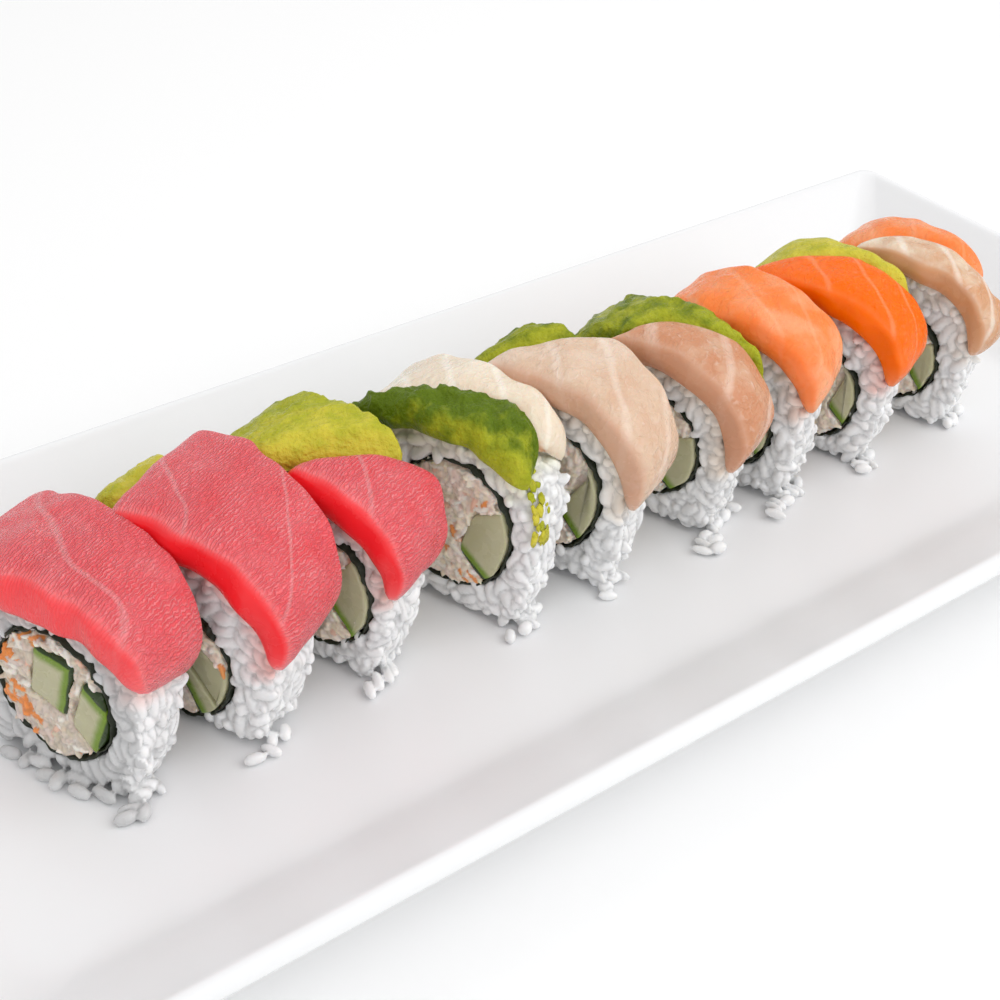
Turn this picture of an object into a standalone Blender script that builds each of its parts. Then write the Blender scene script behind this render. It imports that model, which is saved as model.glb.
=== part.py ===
"""Rainbow roll in nine slices, standing on its long white plate.

Metres, +Z up. The origin is on the table under the middle of the plate, and +X runs along the plate.
Lengths in this file are in millimetres and are turned into metres when a mesh is made.
"""

import bmesh
import bpy
import numpy as np

MM = 0.001
GAP = 0.35  # clearance between two bodies that touch

# The plate: a shallow rectangular dish with sloping sides and a narrow flat lip.
PLATE_LENGTH = 340.0
PLATE_WIDTH = 150.0
RIM_TOP = 28.0
FLOOR_TOP = 8.0
CORNER_STEPS = 4
# Each pair is the distance in from the rim's outer edge and the height, from the foot up and over the lip.
PLATE_PROFILE = (
    (44.0, 2.6),
    (37.5, 2.2),
    (36.0, 0.0),
    (32.0, 0.0),
    (30.5, 1.8),
    (16.5, 10.4),
    (4.2, 21.4),
    (0.9, 23.2),
    (0.0, 24.6),
    (0.0, 26.8),
    (0.7, RIM_TOP),
    (2.2, RIM_TOP),
    (3.6, 27.1),
    (9.5, 22.6),
    (21.0, 13.2),
    (27.0, 9.3),
    (31.0, 8.2),
    (36.0, FLOOR_TOP),
)

# The outline of a slice: a superellipse above the widest point, a fuller one below it, cut flat at the foot.
WIDEST_AT = 25.0
BOTTOM_DROP = 29.0
TOP_POWER = 2.3
BOTTOM_POWER = 3.2
RICE_POINTS = 34
RICE_ROWS = 5
RICE_BUMP = 1.5
FACE_BUMP = 0.9
END_ROUND = 0.9

NORI_POINTS = 16
NORI_THICK = 0.8
NORI_WAVE = 0.6
FILLING_BUMP = 0.7
FILLING_SHARES = (0.6,)  # how far out from the ring's middle the bumps of a cut end lie
NEAR_NORI = 0.8  # a stick's corner this share of the ring's radius out, or more, reaches the nori
PAST_NORI = 1.3
STICK_GAP = 0.6

TOPPING_STEPS = 10
TOPPING_SHARES = (0.0, 0.15, 0.5, 0.85, 1.0)  # where the points across a strip lie
SIDE_HEIGHT = 0.6
TOPPING_LIFT = 0.5
EDGE_THICK = 1.1
# How far from its ends a strip starts to thin.
END_TAPER = 12.0

NEAR_THIN = 0.16  # each slice's near side is this share thinner than its middle, and its far side thicker

# One slice each: where its foot's middle stands, the turn of its axis from +X, its lean along that axis,
# its thickness at the top and at the foot, its half width, its rice's height, and the middle and radius of its
# ring of nori.
SLICES = (
    dict(x=-114.0, y=1.0, yaw=28, lean=9, thick=20.0, foot=15.0, half=21.6, high=37.4, ring=(-1.0, 18.6, 13.8)),
    dict(x=-88.3, y=1.5, yaw=26, lean=7, thick=22.5, foot=16.0, half=23.6, high=40.4, ring=(-1.6, 14.4, 12.4)),
    dict(x=-60.4, y=4.0, yaw=24, lean=7, thick=20.4, foot=15.5, half=22.3, high=40.6, ring=(-4.6, 19.0, 13.6)),
    dict(x=-28.7, y=0.8, yaw=23, lean=6, thick=19.6, foot=13.0, half=23.0, high=42.0, ring=(-2.3, 21.4, 15.0)),
    dict(x=-5.3, y=-0.4, yaw=22, lean=6, thick=19.8, foot=13.0, half=22.0, high=43.0, ring=(-1.6, 21.4, 14.7)),
    dict(x=26.6, y=0.7, yaw=21, lean=2, thick=18.4, foot=13.5, half=20.8, high=41.6, ring=(0.2, 20.2, 14.0)),
    dict(x=49.9, y=-0.4, yaw=21, lean=1, thick=18.2, foot=13.0, half=19.4, high=41.6, ring=(1.2, 18.5, 13.2)),
    dict(x=76.2, y=0.1, yaw=21, lean=0, thick=19.0, foot=14.0, half=20.0, high=41.0, ring=(-0.8, 17.8, 13.4)),
    dict(x=105.2, y=-0.3, yaw=18, lean=0, thick=16.6, foot=13.0, half=20.0, high=40.6, ring=(-0.4, 17.3, 12.8)),
)

# The corners of each cucumber stick's cut end, across the slice and above its foot.
CUCUMBERS = (
    ("cucumber_1a", 0, ((2.2, 29.0), (-7.0, 27.4), (-4.2, 15.6), (4.3, 18.0))),
    ("cucumber_1b", 0, ((-8.9, 24.9), (-15.0, 20.0), (-11.4, 9.3), (-5.3, 13.9))),
    ("cucumber_2a", 1, ((-3.9, 15.6), (-4.1, 22.8), (-9.2, 18.7), (-13.4, 14.2), (-10.9, 6.9))),
    ("cucumber_2b", 1, ((-2.9, 15.2), (-0.6, 13.2), (-7.0, 2.6), (-10.1, 6.4))),
    ("cucumber_3", 2, ((-7.9, 17.3), (-10.4, 25.4), (-14.5, 29.2), (-19.0, 23.3), (-12.9, 11.4))),
    ("cucumber_4", 3, ((-4.9, 16.0), (-8.0, 25.6), (-15.4, 28.2), (-17.0, 23.0), (-11.6, 10.9))),
    ("cucumber_5", 4, ((-6.0, 17.4), (-11.4, 29.4), (-17.4, 29.4), (-17.0, 21.0), (-11.9, 11.4))),
    ("cucumber_6", 5, ((-4.6, 12.7), (-6.8, 24.6), (-14.2, 25.8), (-14.0, 16.0), (-10.4, 8.4))),
    ("cucumber_7", 6, ((-4.8, 15.4), (-6.6, 27.6), (-12.6, 27.4), (-12.6, 19.2), (-8.6, 11.6))),
    ("cucumber_8", 7, ((-7.0, 14.6), (-8.6, 26.2), (-15.4, 26.2), (-15.0, 17.6), (-11.6, 10.6))),
    ("cucumber_9", 8, ((-6.4, 13.6), (-7.8, 22.8), (-13.4, 22.8), (-13.0, 14.8), (-9.4, 9.6))),
)

# The toppings. far and near are where a strip's ends lie, as the arc from the top of the slice in millimetres
# at its front and at its back, negative on the far side. front and back are pairs of arc and place along the
# axis, where -0.5 is the cut face towards the camera and 0.5 the other one.
TOPPINGS = (
    ("tuna_1", 0, 7.0, (-32.0, -33.0), (27.0, 29.5),
     ((0.0, -0.53),), ((-20.0, 0.48), (0.0, 0.5), (14.0, 0.48), (29.0, 0.38))),
    ("avocado_2", 1, 4.8, (-33.0, -33.0), (-16.0, -18.5), ((-30.0, -0.3), (-16.0, -0.15)), ((0.0, 0.52),)),
    ("tuna_2", 1, 6.4, (-14.5, -17.0), (36.5, 33.0),
     ((0.0, -0.51),), ((-14.0, 0.55), (0.0, 0.62), (33.0, 0.5))),
    ("avocado_3", 2, 5.2, (-34.0, -32.0), (-4.5, 13.0), ((0.0, -0.48),), ((0.0, 0.55),)),
    ("tuna_3", 2, 6.2, (-3.3, 14.2), (34.0, 32.5), ((0.0, -0.54), (36.0, -0.52)), ((10.0, 0.55), (34.0, 0.4))),
    ("avocado_4", 3, 5.8, (-28.0, -27.0), (21.5, 19.0), ((0.0, -0.56),),
     ((-27.0, -0.45), (-15.0, -0.38), (-4.0, -0.2), (8.0, 0.05), (16.0, 0.0), (24.0, -0.1))),
    ("white_fish_4", 3, 4.4, (-31.0, -31.0), (18.0, 22.0),
     ((-27.0, -0.41), (-15.0, -0.34), (-4.0, -0.16), (8.0, 0.09), (16.0, 0.04), (24.0, -0.06)), ((0.0, 0.49),)),
    ("avocado_5", 4, 4.4, (-33.0, -32.0), (-20.5, -1.5), ((0.0, -0.44),), ((0.0, 0.52),)),
    ("pink_fish_5", 4, 5.2, (-19.2, -0.2), (35.5, 33.5), ((0.0, -0.51),), ((0.0, 0.54), (34.0, 0.46))),
    ("avocado_6", 5, 4.6, (-32.0, -32.0), (20.0, 24.0),
     ((-30.0, -0.5), (-8.0, -0.34), (-3.0, -0.02), (4.0, 0.13), (12.0, 0.33), (20.0, 0.35)), ((0.0, 0.5),)),
    ("pink_fish_6", 5, 5.0, (-13.0, -5.0), (36.5, 34.0), ((0.0, -0.54),),
     ((-10.0, -0.45), (-3.0, -0.06), (4.0, 0.09), (12.0, 0.29), (19.0, 0.31), (26.0, 0.42), (32.0, 0.36))),
    ("salmon_7", 6, 5.0, (-31.0, -32.0), (28.5, 26.0), ((0.0, -0.52),), ((0.0, 0.55), (28.0, 0.5))),
    ("avocado_8", 7, 4.4, (-30.0, -30.0), (14.0, 17.0),
     ((-26.0, -0.25), (-12.0, -0.05), (-4.0, 0.19), (3.0, 0.41), (14.0, 0.42)), ((0.0, 0.68),)),
    ("salmon_8", 7, 5.2, (-31.0, -15.0), (30.5, 30.0), ((0.0, -0.54),),
     ((-26.0, -0.29), (-12.0, -0.09), (-4.0, 0.15), (3.0, 0.37), (14.0, 0.38), (20.0, 0.5), (32.0, 0.44))),
    ("white_fish_9", 8, 4.6, (-16.0, -13.0), (31.0, 33.0), ((0.0, -0.55),),
     ((-14.0, -0.36), (-8.0, -0.2), (-2.0, 0.0), (6.0, 0.04), (18.5, 0.03), (23.5, 0.38), (36.0, 0.42))),
    ("salmon_9", 8, 4.4, (-31.0, -31.0), (15.0, 16.0),
     ((-30.0, -0.54), (-20.0, -0.5), (-14.0, -0.32), (-8.0, -0.16), (-2.0, 0.04), (6.0, 0.08), (14.0, 0.04)),
     ((0.0, 0.53),)),
)

COLOURS = {
    "plate": (0.92, 0.92, 0.92, 1.0),
    "rice": (0.83, 0.82, 0.79, 1.0),
    "nori": (0.012, 0.016, 0.01, 1.0),
    "crab": (0.78, 0.66, 0.55, 1.0),
    "cucumber": (0.36, 0.42, 0.17, 1.0),
    "tuna": (0.68, 0.07, 0.1, 1.0),
    "avocado": (0.42, 0.52, 0.08, 1.0),
    "white_fish": (0.8, 0.69, 0.53, 1.0),
    "pink_fish": (0.83, 0.56, 0.4, 1.0),
    "salmon": (0.93, 0.22, 0.05, 1.0),
}


def outline(half, high, grow=0.0, low=GAP):
    """A slice's outline as a dense closed loop of (across, up), from the foot's middle over the near side."""
    turn = np.linspace(-0.5 * np.pi, 1.5 * np.pi, 1441)[:-1]
    cos, sin = np.cos(turn), np.sin(turn)
    power = np.where(sin >= 0.0, TOP_POWER, BOTTOM_POWER)
    across = -(half + grow) * np.sign(cos) * np.abs(cos) ** (2.0 / power)
    reach = np.where(sin >= 0.0, high - WIDEST_AT + grow, BOTTOM_DROP)
    up = WIDEST_AT + reach * np.sign(sin) * np.abs(sin) ** (2.0 / power)
    return across, np.maximum(up, low)


def arc_of(across, up):
    """The length along a loop at each of its points, from its top and growing towards the near side."""
    arc = np.concatenate([[0.0], np.cumsum(np.hypot(np.diff(across), np.diff(up)))])
    return arc[np.argmax(up)] - arc


def even_loop(across, up, count):
    """The closed loop resampled to count points at even steps."""
    across, up = np.append(across, across[0]), np.append(up, up[0])
    arc = np.concatenate([[0.0], np.cumsum(np.hypot(np.diff(across), np.diff(up)))])
    at = np.linspace(0.0, arc[-1], count, endpoint=False)
    return np.interp(at, arc, across), np.interp(at, arc, up)


def placed(piece, across, up, along):
    """World points in millimetres of a slice's own across, up and along coordinates."""
    yaw = np.radians(piece["yaw"])
    # The front stays flat and the slice widens from its foot up and from its near side to its far one.
    wide = piece["foot"] + (piece["thick"] - piece["foot"]) * up / piece["high"]
    wide = wide * (1.0 + NEAR_THIN * across / piece["half"])
    along = -0.5 * piece["foot"] + (along + 0.5 * piece["thick"]) * wide / piece["thick"]
    along = along + up * np.tan(np.radians(piece["lean"]))
    x = piece["x"] + np.cos(yaw) * along - np.sin(yaw) * across
    y = piece["y"] + np.sin(yaw) * along + np.cos(yaw) * across
    return np.stack([x, y, FLOOR_TOP + up], axis=-1)


def material_for(kind):
    material = bpy.data.materials.get(kind) or bpy.data.materials.new(kind)
    material.use_nodes = True
    shader = material.node_tree.nodes["Principled BSDF"]
    shader.inputs["Base Color"].default_value = COLOURS[kind]
    shader.inputs["Roughness"].default_value = 0.35
    return material


def add_object(name, points, faces, kind):
    """A closed mesh object from points in millimetres, with its faces turned outwards."""
    mesh = bpy.data.meshes.new(name)
    mesh.from_pydata((np.asarray(points) * MM).tolist(), [], faces)
    work = bmesh.new()
    work.from_mesh(mesh)
    bmesh.ops.recalc_face_normals(work, faces=work.faces)
    work.to_mesh(mesh)
    work.free()
    mesh.materials.append(material_for(kind))
    made = bpy.data.objects.new(name, mesh)
    bpy.context.scene.collection.objects.link(made)
    return made


def stacked(loops, closed):
    """Points and faces of loops with equal counts, joined in order; closed joins the last to the first."""
    count = len(loops[0])
    faces = []
    pairs = [(i, i + 1) for i in range(len(loops) - 1)]
    if closed:
        pairs.append((len(loops) - 1, 0))
    for low, high in pairs:
        for k in range(count):
            n = (k + 1) % count
            faces.append((low * count + k, low * count + n, high * count + n, high * count + k))
    if not closed:
        faces.append(tuple(range(count)))
        faces.append(tuple(range((len(loops) - 1) * count, len(loops) * count)))
    return np.concatenate(loops), faces


def plate_loop(inset, height):
    """One rounded rectangle of the plate, this far in from the rim's outer edge."""
    half_x, half_y = 0.5 * PLATE_LENGTH - inset, 0.5 * PLATE_WIDTH - inset
    radius = 4.0 + 0.22 * inset
    points = []
    for quarter, (sx, sy) in enumerate(((1, 1), (-1, 1), (-1, -1), (1, -1))):
        for step in range(CORNER_STEPS + 1):
            turn = 0.5 * np.pi * (quarter + step / CORNER_STEPS)
            points.append((
                sx * (half_x - radius) + radius * np.cos(turn),
                sy * (half_y - radius) + radius * np.sin(turn),
                height,
            ))
    return np.array(points)


def add_plate():
    loops = [plate_loop(inset, height) for inset, height in PLATE_PROFILE]
    points, faces = stacked(loops, closed=False)
    return add_object("plate", points, faces, "plate")


def ring_loop(piece, seed, inset, count):
    """The slightly wavy ring of nori in one slice, this far inside its outer face."""
    across, up, radius = piece["ring"]
    rng = np.random.default_rng(seed)
    turn = np.linspace(0.0, 2.0 * np.pi, count, endpoint=False)
    wave = sum(
        NORI_WAVE / k * rng.uniform(0.5, 1.0) * np.cos(k * turn + rng.uniform(0.0, 2.0 * np.pi))
        for k in (2, 3, 5)
    )
    r = radius + wave - inset
    return across + r * np.cos(turn), up + r * np.sin(turn)


def add_rice(number, piece):
    """The ring of rice round the nori, with bumps the size of its grains."""
    rng = np.random.default_rng(100 + number)
    half_thick = 0.5 * piece["thick"]
    dense = outline(piece["half"], piece["high"])
    outer_a, outer_u = even_loop(*dense, RICE_POINTS)
    hole_a, hole_u = ring_loop(piece, 40 + number, -GAP, 360)
    middle_a, middle_u = piece["ring"][:2]
    # The hole's points are spread by angle to face the outline's points.
    angle = np.unwrap(np.arctan2(outer_u - middle_u, outer_a - middle_a))
    hole_at = np.arctan2(hole_u - middle_u, hole_a - middle_a) % (2.0 * np.pi)
    order = np.argsort(hole_at)
    radius = np.interp(
        angle % (2.0 * np.pi), hole_at[order],
        np.hypot(hole_a - middle_a, hole_u - middle_u)[order], period=2.0 * np.pi,
    )
    inner = middle_a + radius * np.cos(angle), middle_u + radius * np.sin(angle)
    loops = [placed(piece, *inner, np.full(RICE_POINTS, -half_thick + 0.3))]
    loops.append(rice_face(piece, rng, inner, (outer_a, outer_u), -half_thick, 1.0))
    for row in range(RICE_ROWS + 2):
        share = row / (RICE_ROWS + 1)
        ends = END_ROUND if row in (0, RICE_ROWS + 1) else 0.0
        bump = ends + RICE_BUMP * rng.uniform(0.0, 1.0, RICE_POINTS) ** 1.5
        toward_a, toward_u = middle_a - outer_a, middle_u + 4.0 - outer_u
        reach = np.hypot(toward_a, toward_u)
        along = -half_thick + share * piece["thick"]
        along += rng.uniform(-0.6, 0.6, RICE_POINTS) if ends == 0.0 else 0.0
        across = outer_a + toward_a / reach * bump
        up = np.maximum(outer_u + toward_u / reach * bump, GAP)
        up = np.where(outer_u <= GAP + 0.01, np.where(rng.random(RICE_POINTS) < 0.6, GAP, up), up)
        loops.append(placed(piece, across, up, along))
    loops.append(rice_face(piece, rng, inner, (outer_a, outer_u), half_thick, -1.0))
    loops.append(placed(piece, *inner, np.full(RICE_POINTS, half_thick - 0.3)))
    points, faces = stacked(loops, closed=True)
    return add_object(f"rice_{number}", points, faces, "rice")


def rice_face(piece, rng, inner, outer, along, sense):
    """The loop halfway across a cut face, pushed in here and there by up to a grain's bump."""
    share = rng.uniform(0.42, 0.62, RICE_POINTS)
    across = inner[0] + share * (outer[0] - inner[0])
    up = inner[1] + share * (outer[1] - inner[1])
    along = along + sense * rng.uniform(0.0, FACE_BUMP, RICE_POINTS)
    return placed(piece, across, np.maximum(up, GAP), along)


def add_nori(number, piece):
    half_thick = 0.5 * piece["thick"] - 0.2
    outer = ring_loop(piece, 40 + number, 0.0, NORI_POINTS)
    inner = ring_loop(piece, 40 + number, NORI_THICK, NORI_POINTS)
    loops = [
        placed(piece, *inner, -half_thick),
        placed(piece, *outer, -half_thick),
        placed(piece, *outer, half_thick),
        placed(piece, *inner, half_thick),
    ]
    points, faces = stacked(loops, closed=True)
    return add_object(f"nori_{number}", points, faces, "nori")


def add_filling(number, piece, name, kind, inset, bump, shorten):
    """The core inside the nori, with an uneven cut face at each end."""
    rng = np.random.default_rng(200 + number)
    half_thick = 0.5 * piece["thick"] - shorten
    edge = ring_loop(piece, 40 + number, NORI_THICK + inset, NORI_POINTS)
    middle_a, middle_u = piece["ring"][:2]
    loops = []
    for sense in (-1.0, 1.0):
        faces = []
        for share in FILLING_SHARES:
            across = middle_a + share * (edge[0] - middle_a)
            up = middle_u + share * (edge[1] - middle_u)
            push = rng.uniform(0.0, bump, NORI_POINTS)
            faces.append(placed(piece, across, up, sense * (half_thick - push)))
        faces.append(placed(piece, *edge, np.full(NORI_POINTS, sense * (half_thick - 0.3))))
        loops.extend(faces if sense < 0.0 else faces[::-1])
    points, faces = stacked(loops, closed=False)
    return add_object(name, points, faces, kind)


def add_prism(name, piece, corners, grow, kind):
    """A straight stick through a slice, its outline moved out by grow from its corners' middle.

    The corners near the nori are pushed out past it, so that the stick reaches the nori.
    """
    corners = np.array(corners)
    ring = np.array(piece["ring"][:2])
    from_ring = np.hypot(*(corners - ring).T)
    radius = piece["ring"][2]
    reach_out = np.where(from_ring > NEAR_NORI * radius, PAST_NORI * radius / from_ring, 1.0)
    corners = ring + (corners - ring) * reach_out[:, None]
    middle = corners.mean(axis=0)
    away = corners - middle
    corners = middle + away * (1.0 + grow / np.hypot(*away.T))[:, None]
    reach = 0.5 * piece["thick"] + (3.0 if grow > 0.0 else -0.25)
    loops = [placed(piece, corners[:, 0], corners[:, 1], side * reach) for side in (-1.0, 1.0)]
    points, faces = stacked(loops, closed=False)
    return add_object(name, points, faces, kind)


def apply_boolean(target, other, operation):
    """Joins or cuts target with other, keeps the result in target and removes other."""
    modifier = target.modifiers.new("cut", "BOOLEAN")
    modifier.operation = operation
    modifier.solver = "EXACT"
    modifier.object = other
    graph = bpy.context.evaluated_depsgraph_get()
    mesh = bpy.data.meshes.new_from_object(target.evaluated_get(graph))
    target.modifiers.remove(modifier)
    target.data = mesh
    bpy.data.objects.remove(other)


def keep_largest(target):
    """Drops the loose scraps that a cut leaves beside the main body."""
    work = bmesh.new()
    work.from_mesh(target.data)
    left, bodies = set(work.faces), []
    while left:
        body, edge = set(), [left.pop()]
        while edge:
            face = edge.pop()
            body.add(face)
            for side in face.edges:
                for other in side.link_faces:
                    if other in left:
                        left.remove(other)
                        edge.append(other)
        bodies.append(body)
    bodies.sort(key=lambda faces: sum(face.calc_area() for face in faces))
    scraps = [face for body in bodies[:-1] for face in body]
    bmesh.ops.delete(work, geom=scraps, context="FACES")
    work.to_mesh(target.data)
    work.free()


def add_fillings():
    sticks = {}
    for name, index, corners in CUCUMBERS:
        sticks.setdefault(index, []).append((name, corners))
    for index, piece in enumerate(SLICES):
        number = index + 1
        crab = add_filling(number, piece, f"crab_{number}", "crab", GAP, FILLING_BUMP, 0.1)
        for name, corners in sticks[index]:
            apply_boolean(crab, add_prism("cutter", piece, corners, STICK_GAP, "cucumber"), "DIFFERENCE")
            stick = add_prism(name, piece, corners, 0.0, "cucumber")
            limit = add_filling(number, piece, "limit", "cucumber", GAP, 0.0, -1.0)
            apply_boolean(stick, limit, "INTERSECT")
            keep_largest(stick)
        keep_largest(crab)


def add_topping(name, piece, thick, far, near, front, back):
    """A strip laid over the slice: thick in its middle, thinner at its ends, with square cut sides."""
    rng = np.random.default_rng(sum(map(ord, name)))
    steps, rows = TOPPING_STEPS, len(TOPPING_SHARES) - 1
    under = outline(piece["half"], piece["high"], TOPPING_LIFT)
    arc = arc_of(*under)
    centre = np.array([0.0, WIDEST_AT - 6.0])
    share_u, share_v = np.meshgrid(np.linspace(0.0, 1.0, steps + 1), TOPPING_SHARES, indexing="ij")
    first = far[0] + (far[1] - far[0]) * share_v
    last = near[0] + (near[1] - near[0]) * share_v
    at = first + (last - first) * share_u
    front_along = np.interp(at, *zip(*front))
    back_along = np.interp(at, *zip(*back))
    along = (front_along + (back_along - front_along) * share_v) * piece["thick"]
    order = np.argsort(arc)
    low_a, low_u = (np.interp(at, arc[order], side[order]) for side in under)
    # Each point of the upper face is straight out from the one below it.
    next_a, next_u = (np.interp(at + 0.5, arc[order], side[order]) for side in under)
    ahead_a, ahead_u = next_a - low_a, next_u - low_u
    size = np.hypot(ahead_a, ahead_u)
    out_a, out_u = ahead_u / size, -ahead_a / size
    sense = np.sign(out_a * (low_a - centre[0]) + out_u * (low_u - centre[1]))
    from_end = np.minimum(share_u, 1.0 - share_u) * np.abs(last - first)
    taper = np.clip(from_end / END_TAPER, 0.0, 1.0)
    height = EDGE_THICK + (thick - EDGE_THICK) * np.sin(0.5 * np.pi * taper) ** 0.8
    height = height * rng.uniform(0.94, 1.06, height.shape)
    side_drop = np.where((share_v == 0.0) | (share_v == 1.0), SIDE_HEIGHT, 1.0)
    high_a = low_a + sense * out_a * height * side_drop
    high_u = low_u + sense * out_u * height * side_drop
    lower = placed(piece, low_a, low_u, along).reshape(-1, 3)
    upper = placed(piece, high_a, high_u, along).reshape(-1, 3)
    count = (steps + 1) * (rows + 1)
    faces = []
    for i in range(steps):
        for j in range(rows):
            corner = i * (rows + 1) + j
            quad = (corner, corner + 1, corner + rows + 2, corner + rows + 1)
            faces.append(quad)
            faces.append(tuple(c + count for c in quad))
    border = [i * (rows + 1) for i in range(steps + 1)]
    border += [steps * (rows + 1) + j for j in range(1, rows + 1)]
    border += [i * (rows + 1) + rows for i in range(steps - 1, -1, -1)]
    border += [j for j in range(rows - 1, 0, -1)]
    for k, low in enumerate(border):
        following = border[(k + 1) % len(border)]
        faces.append((low, following, following + count, low + count))
    return add_object(name, np.concatenate([lower, upper]), faces, name.rsplit("_", 1)[0])


def main():
    for old in list(bpy.data.objects):
        bpy.data.objects.remove(old)
    add_plate()
    for index, piece in enumerate(SLICES):
        add_rice(index + 1, piece)
        add_nori(index + 1, piece)
    add_fillings()
    for name, index, thick, far, near, front, back in TOPPINGS:
        add_topping(name, SLICES[index], thick, far, near, front, back)


main()
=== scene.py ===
"""Rainbow roll in nine slices on its long white plate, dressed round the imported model.

Lengths in this file are in millimetres and are turned into metres when a mesh is made. A slice's own
coordinates are across it, up from its foot and along its axis, with the near side at negative across.
"""

import math

import bmesh
import bpy
import numpy as np
from bpy.props import FloatProperty, FloatVectorProperty, IntProperty, PointerProperty
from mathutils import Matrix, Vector, kdtree, noise


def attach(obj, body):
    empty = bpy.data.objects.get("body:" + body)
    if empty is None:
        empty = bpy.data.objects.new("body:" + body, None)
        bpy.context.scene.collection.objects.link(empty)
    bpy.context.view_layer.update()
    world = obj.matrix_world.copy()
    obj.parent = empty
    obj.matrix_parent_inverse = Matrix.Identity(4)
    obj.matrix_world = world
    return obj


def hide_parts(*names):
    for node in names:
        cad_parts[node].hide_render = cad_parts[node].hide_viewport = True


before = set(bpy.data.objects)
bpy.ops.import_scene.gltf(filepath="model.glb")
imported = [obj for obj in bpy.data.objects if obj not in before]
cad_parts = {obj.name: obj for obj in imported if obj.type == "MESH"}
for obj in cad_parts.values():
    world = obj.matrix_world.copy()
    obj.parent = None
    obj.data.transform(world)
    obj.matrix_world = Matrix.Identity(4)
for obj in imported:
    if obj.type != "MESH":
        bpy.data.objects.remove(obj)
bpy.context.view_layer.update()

bl_info = {
    "name": "Rainbow Roll on a Plate",
    "version": (1, 0, 0),
    "blender": (4, 5, 0),
    "location": "3D View > Sidebar > Rainbow Roll",
    "description": "Nine slices of an inside-out rice roll under fish and avocado, on a long plate",
    "category": "Add Mesh",
}

MM = 0.001

PLATE_LENGTH = 340.0
PLATE_WIDTH = 150.0
RIM_TOP = 28.0
FLOOR_TOP = 8.0
# Distance in from the rim's outer edge and height, from the foot up and over the lip to the floor.
PLATE_PROFILE = (
    (44.0, 2.6), (38.2, 2.4), (36.6, 0.4), (35.6, 0.0), (32.4, 0.0), (31.4, 0.3), (30.2, 2.0),
    (16.5, 10.4), (4.2, 21.4), (1.4, 23.0), (0.3, 24.0), (0.0, 25.2), (0.1, 26.8), (0.8, 27.8),
    (1.8, RIM_TOP), (2.8, 27.8), (4.2, 26.7), (9.5, 22.6), (21.0, 13.2), (25.2, 10.3), (28.2, 8.8),
    (31.4, 8.2), (36.0, FLOOR_TOP), (48.0, FLOOR_TOP),
)

CORNER_RADIUS = 4.0  # the plate's corner at its rim
CORNER_WIDENS = 0.22  # how much rounder the corner gets for each millimetre in from the rim
CORNER_STEPS = 9

GAP = 0.35
WIDEST_AT = 25.0
BOTTOM_DROP = 29.0
TOP_POWER = 2.3
BOTTOM_POWER = 3.2
NEAR_THIN = 0.16
NORI_WAVE = 0.6
NORI_THICK = 0.8
NEAR_NORI = 0.8
PAST_NORI = 1.3
TOPPING_LIFT = 0.5
EDGE_THICK = 0.5
FAR_TAPER = 6.0

# Each slice's place on the plate, its turn and lean in degrees, its thickness at the top and at the foot, its
# half width and height, and its nori's middle, as across and up, with the nori's outer radius.
SLICE_PARTS = ("x", "y", "yaw", "lean", "thick", "foot", "half", "high", "ring")
SLICES = tuple(
    dict(zip(SLICE_PARTS, row))
    for row in (
        (-114.0, 1.0, 28, 9, 20.0, 15.0, 21.6, 37.4, (-1.0, 18.6, 13.8)),
        (-88.3, 1.5, 26, 7, 22.5, 16.0, 23.6, 40.4, (-1.6, 14.4, 12.4)),
        (-60.4, 4.0, 24, 7, 20.4, 15.5, 22.3, 40.6, (-4.6, 19.0, 13.6)),
        (-28.7, 0.8, 23, 6, 19.6, 13.0, 23.0, 42.0, (-2.3, 21.4, 15.0)),
        (-5.3, -0.4, 22, 6, 19.8, 13.0, 22.0, 43.0, (-1.6, 21.4, 14.7)),
        (26.6, 0.7, 21, 2, 18.4, 13.5, 20.8, 41.6, (0.2, 20.2, 14.0)),
        (49.9, -0.4, 21, 1, 18.2, 13.0, 19.4, 41.6, (1.2, 18.5, 13.2)),
        (76.2, 0.1, 21, 0, 19.0, 14.0, 20.0, 41.0, (-0.8, 17.8, 13.4)),
        (105.2, -0.3, 18, 0, 16.6, 13.0, 20.0, 40.6, (-0.4, 17.3, 12.8)),
    )
)

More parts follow.
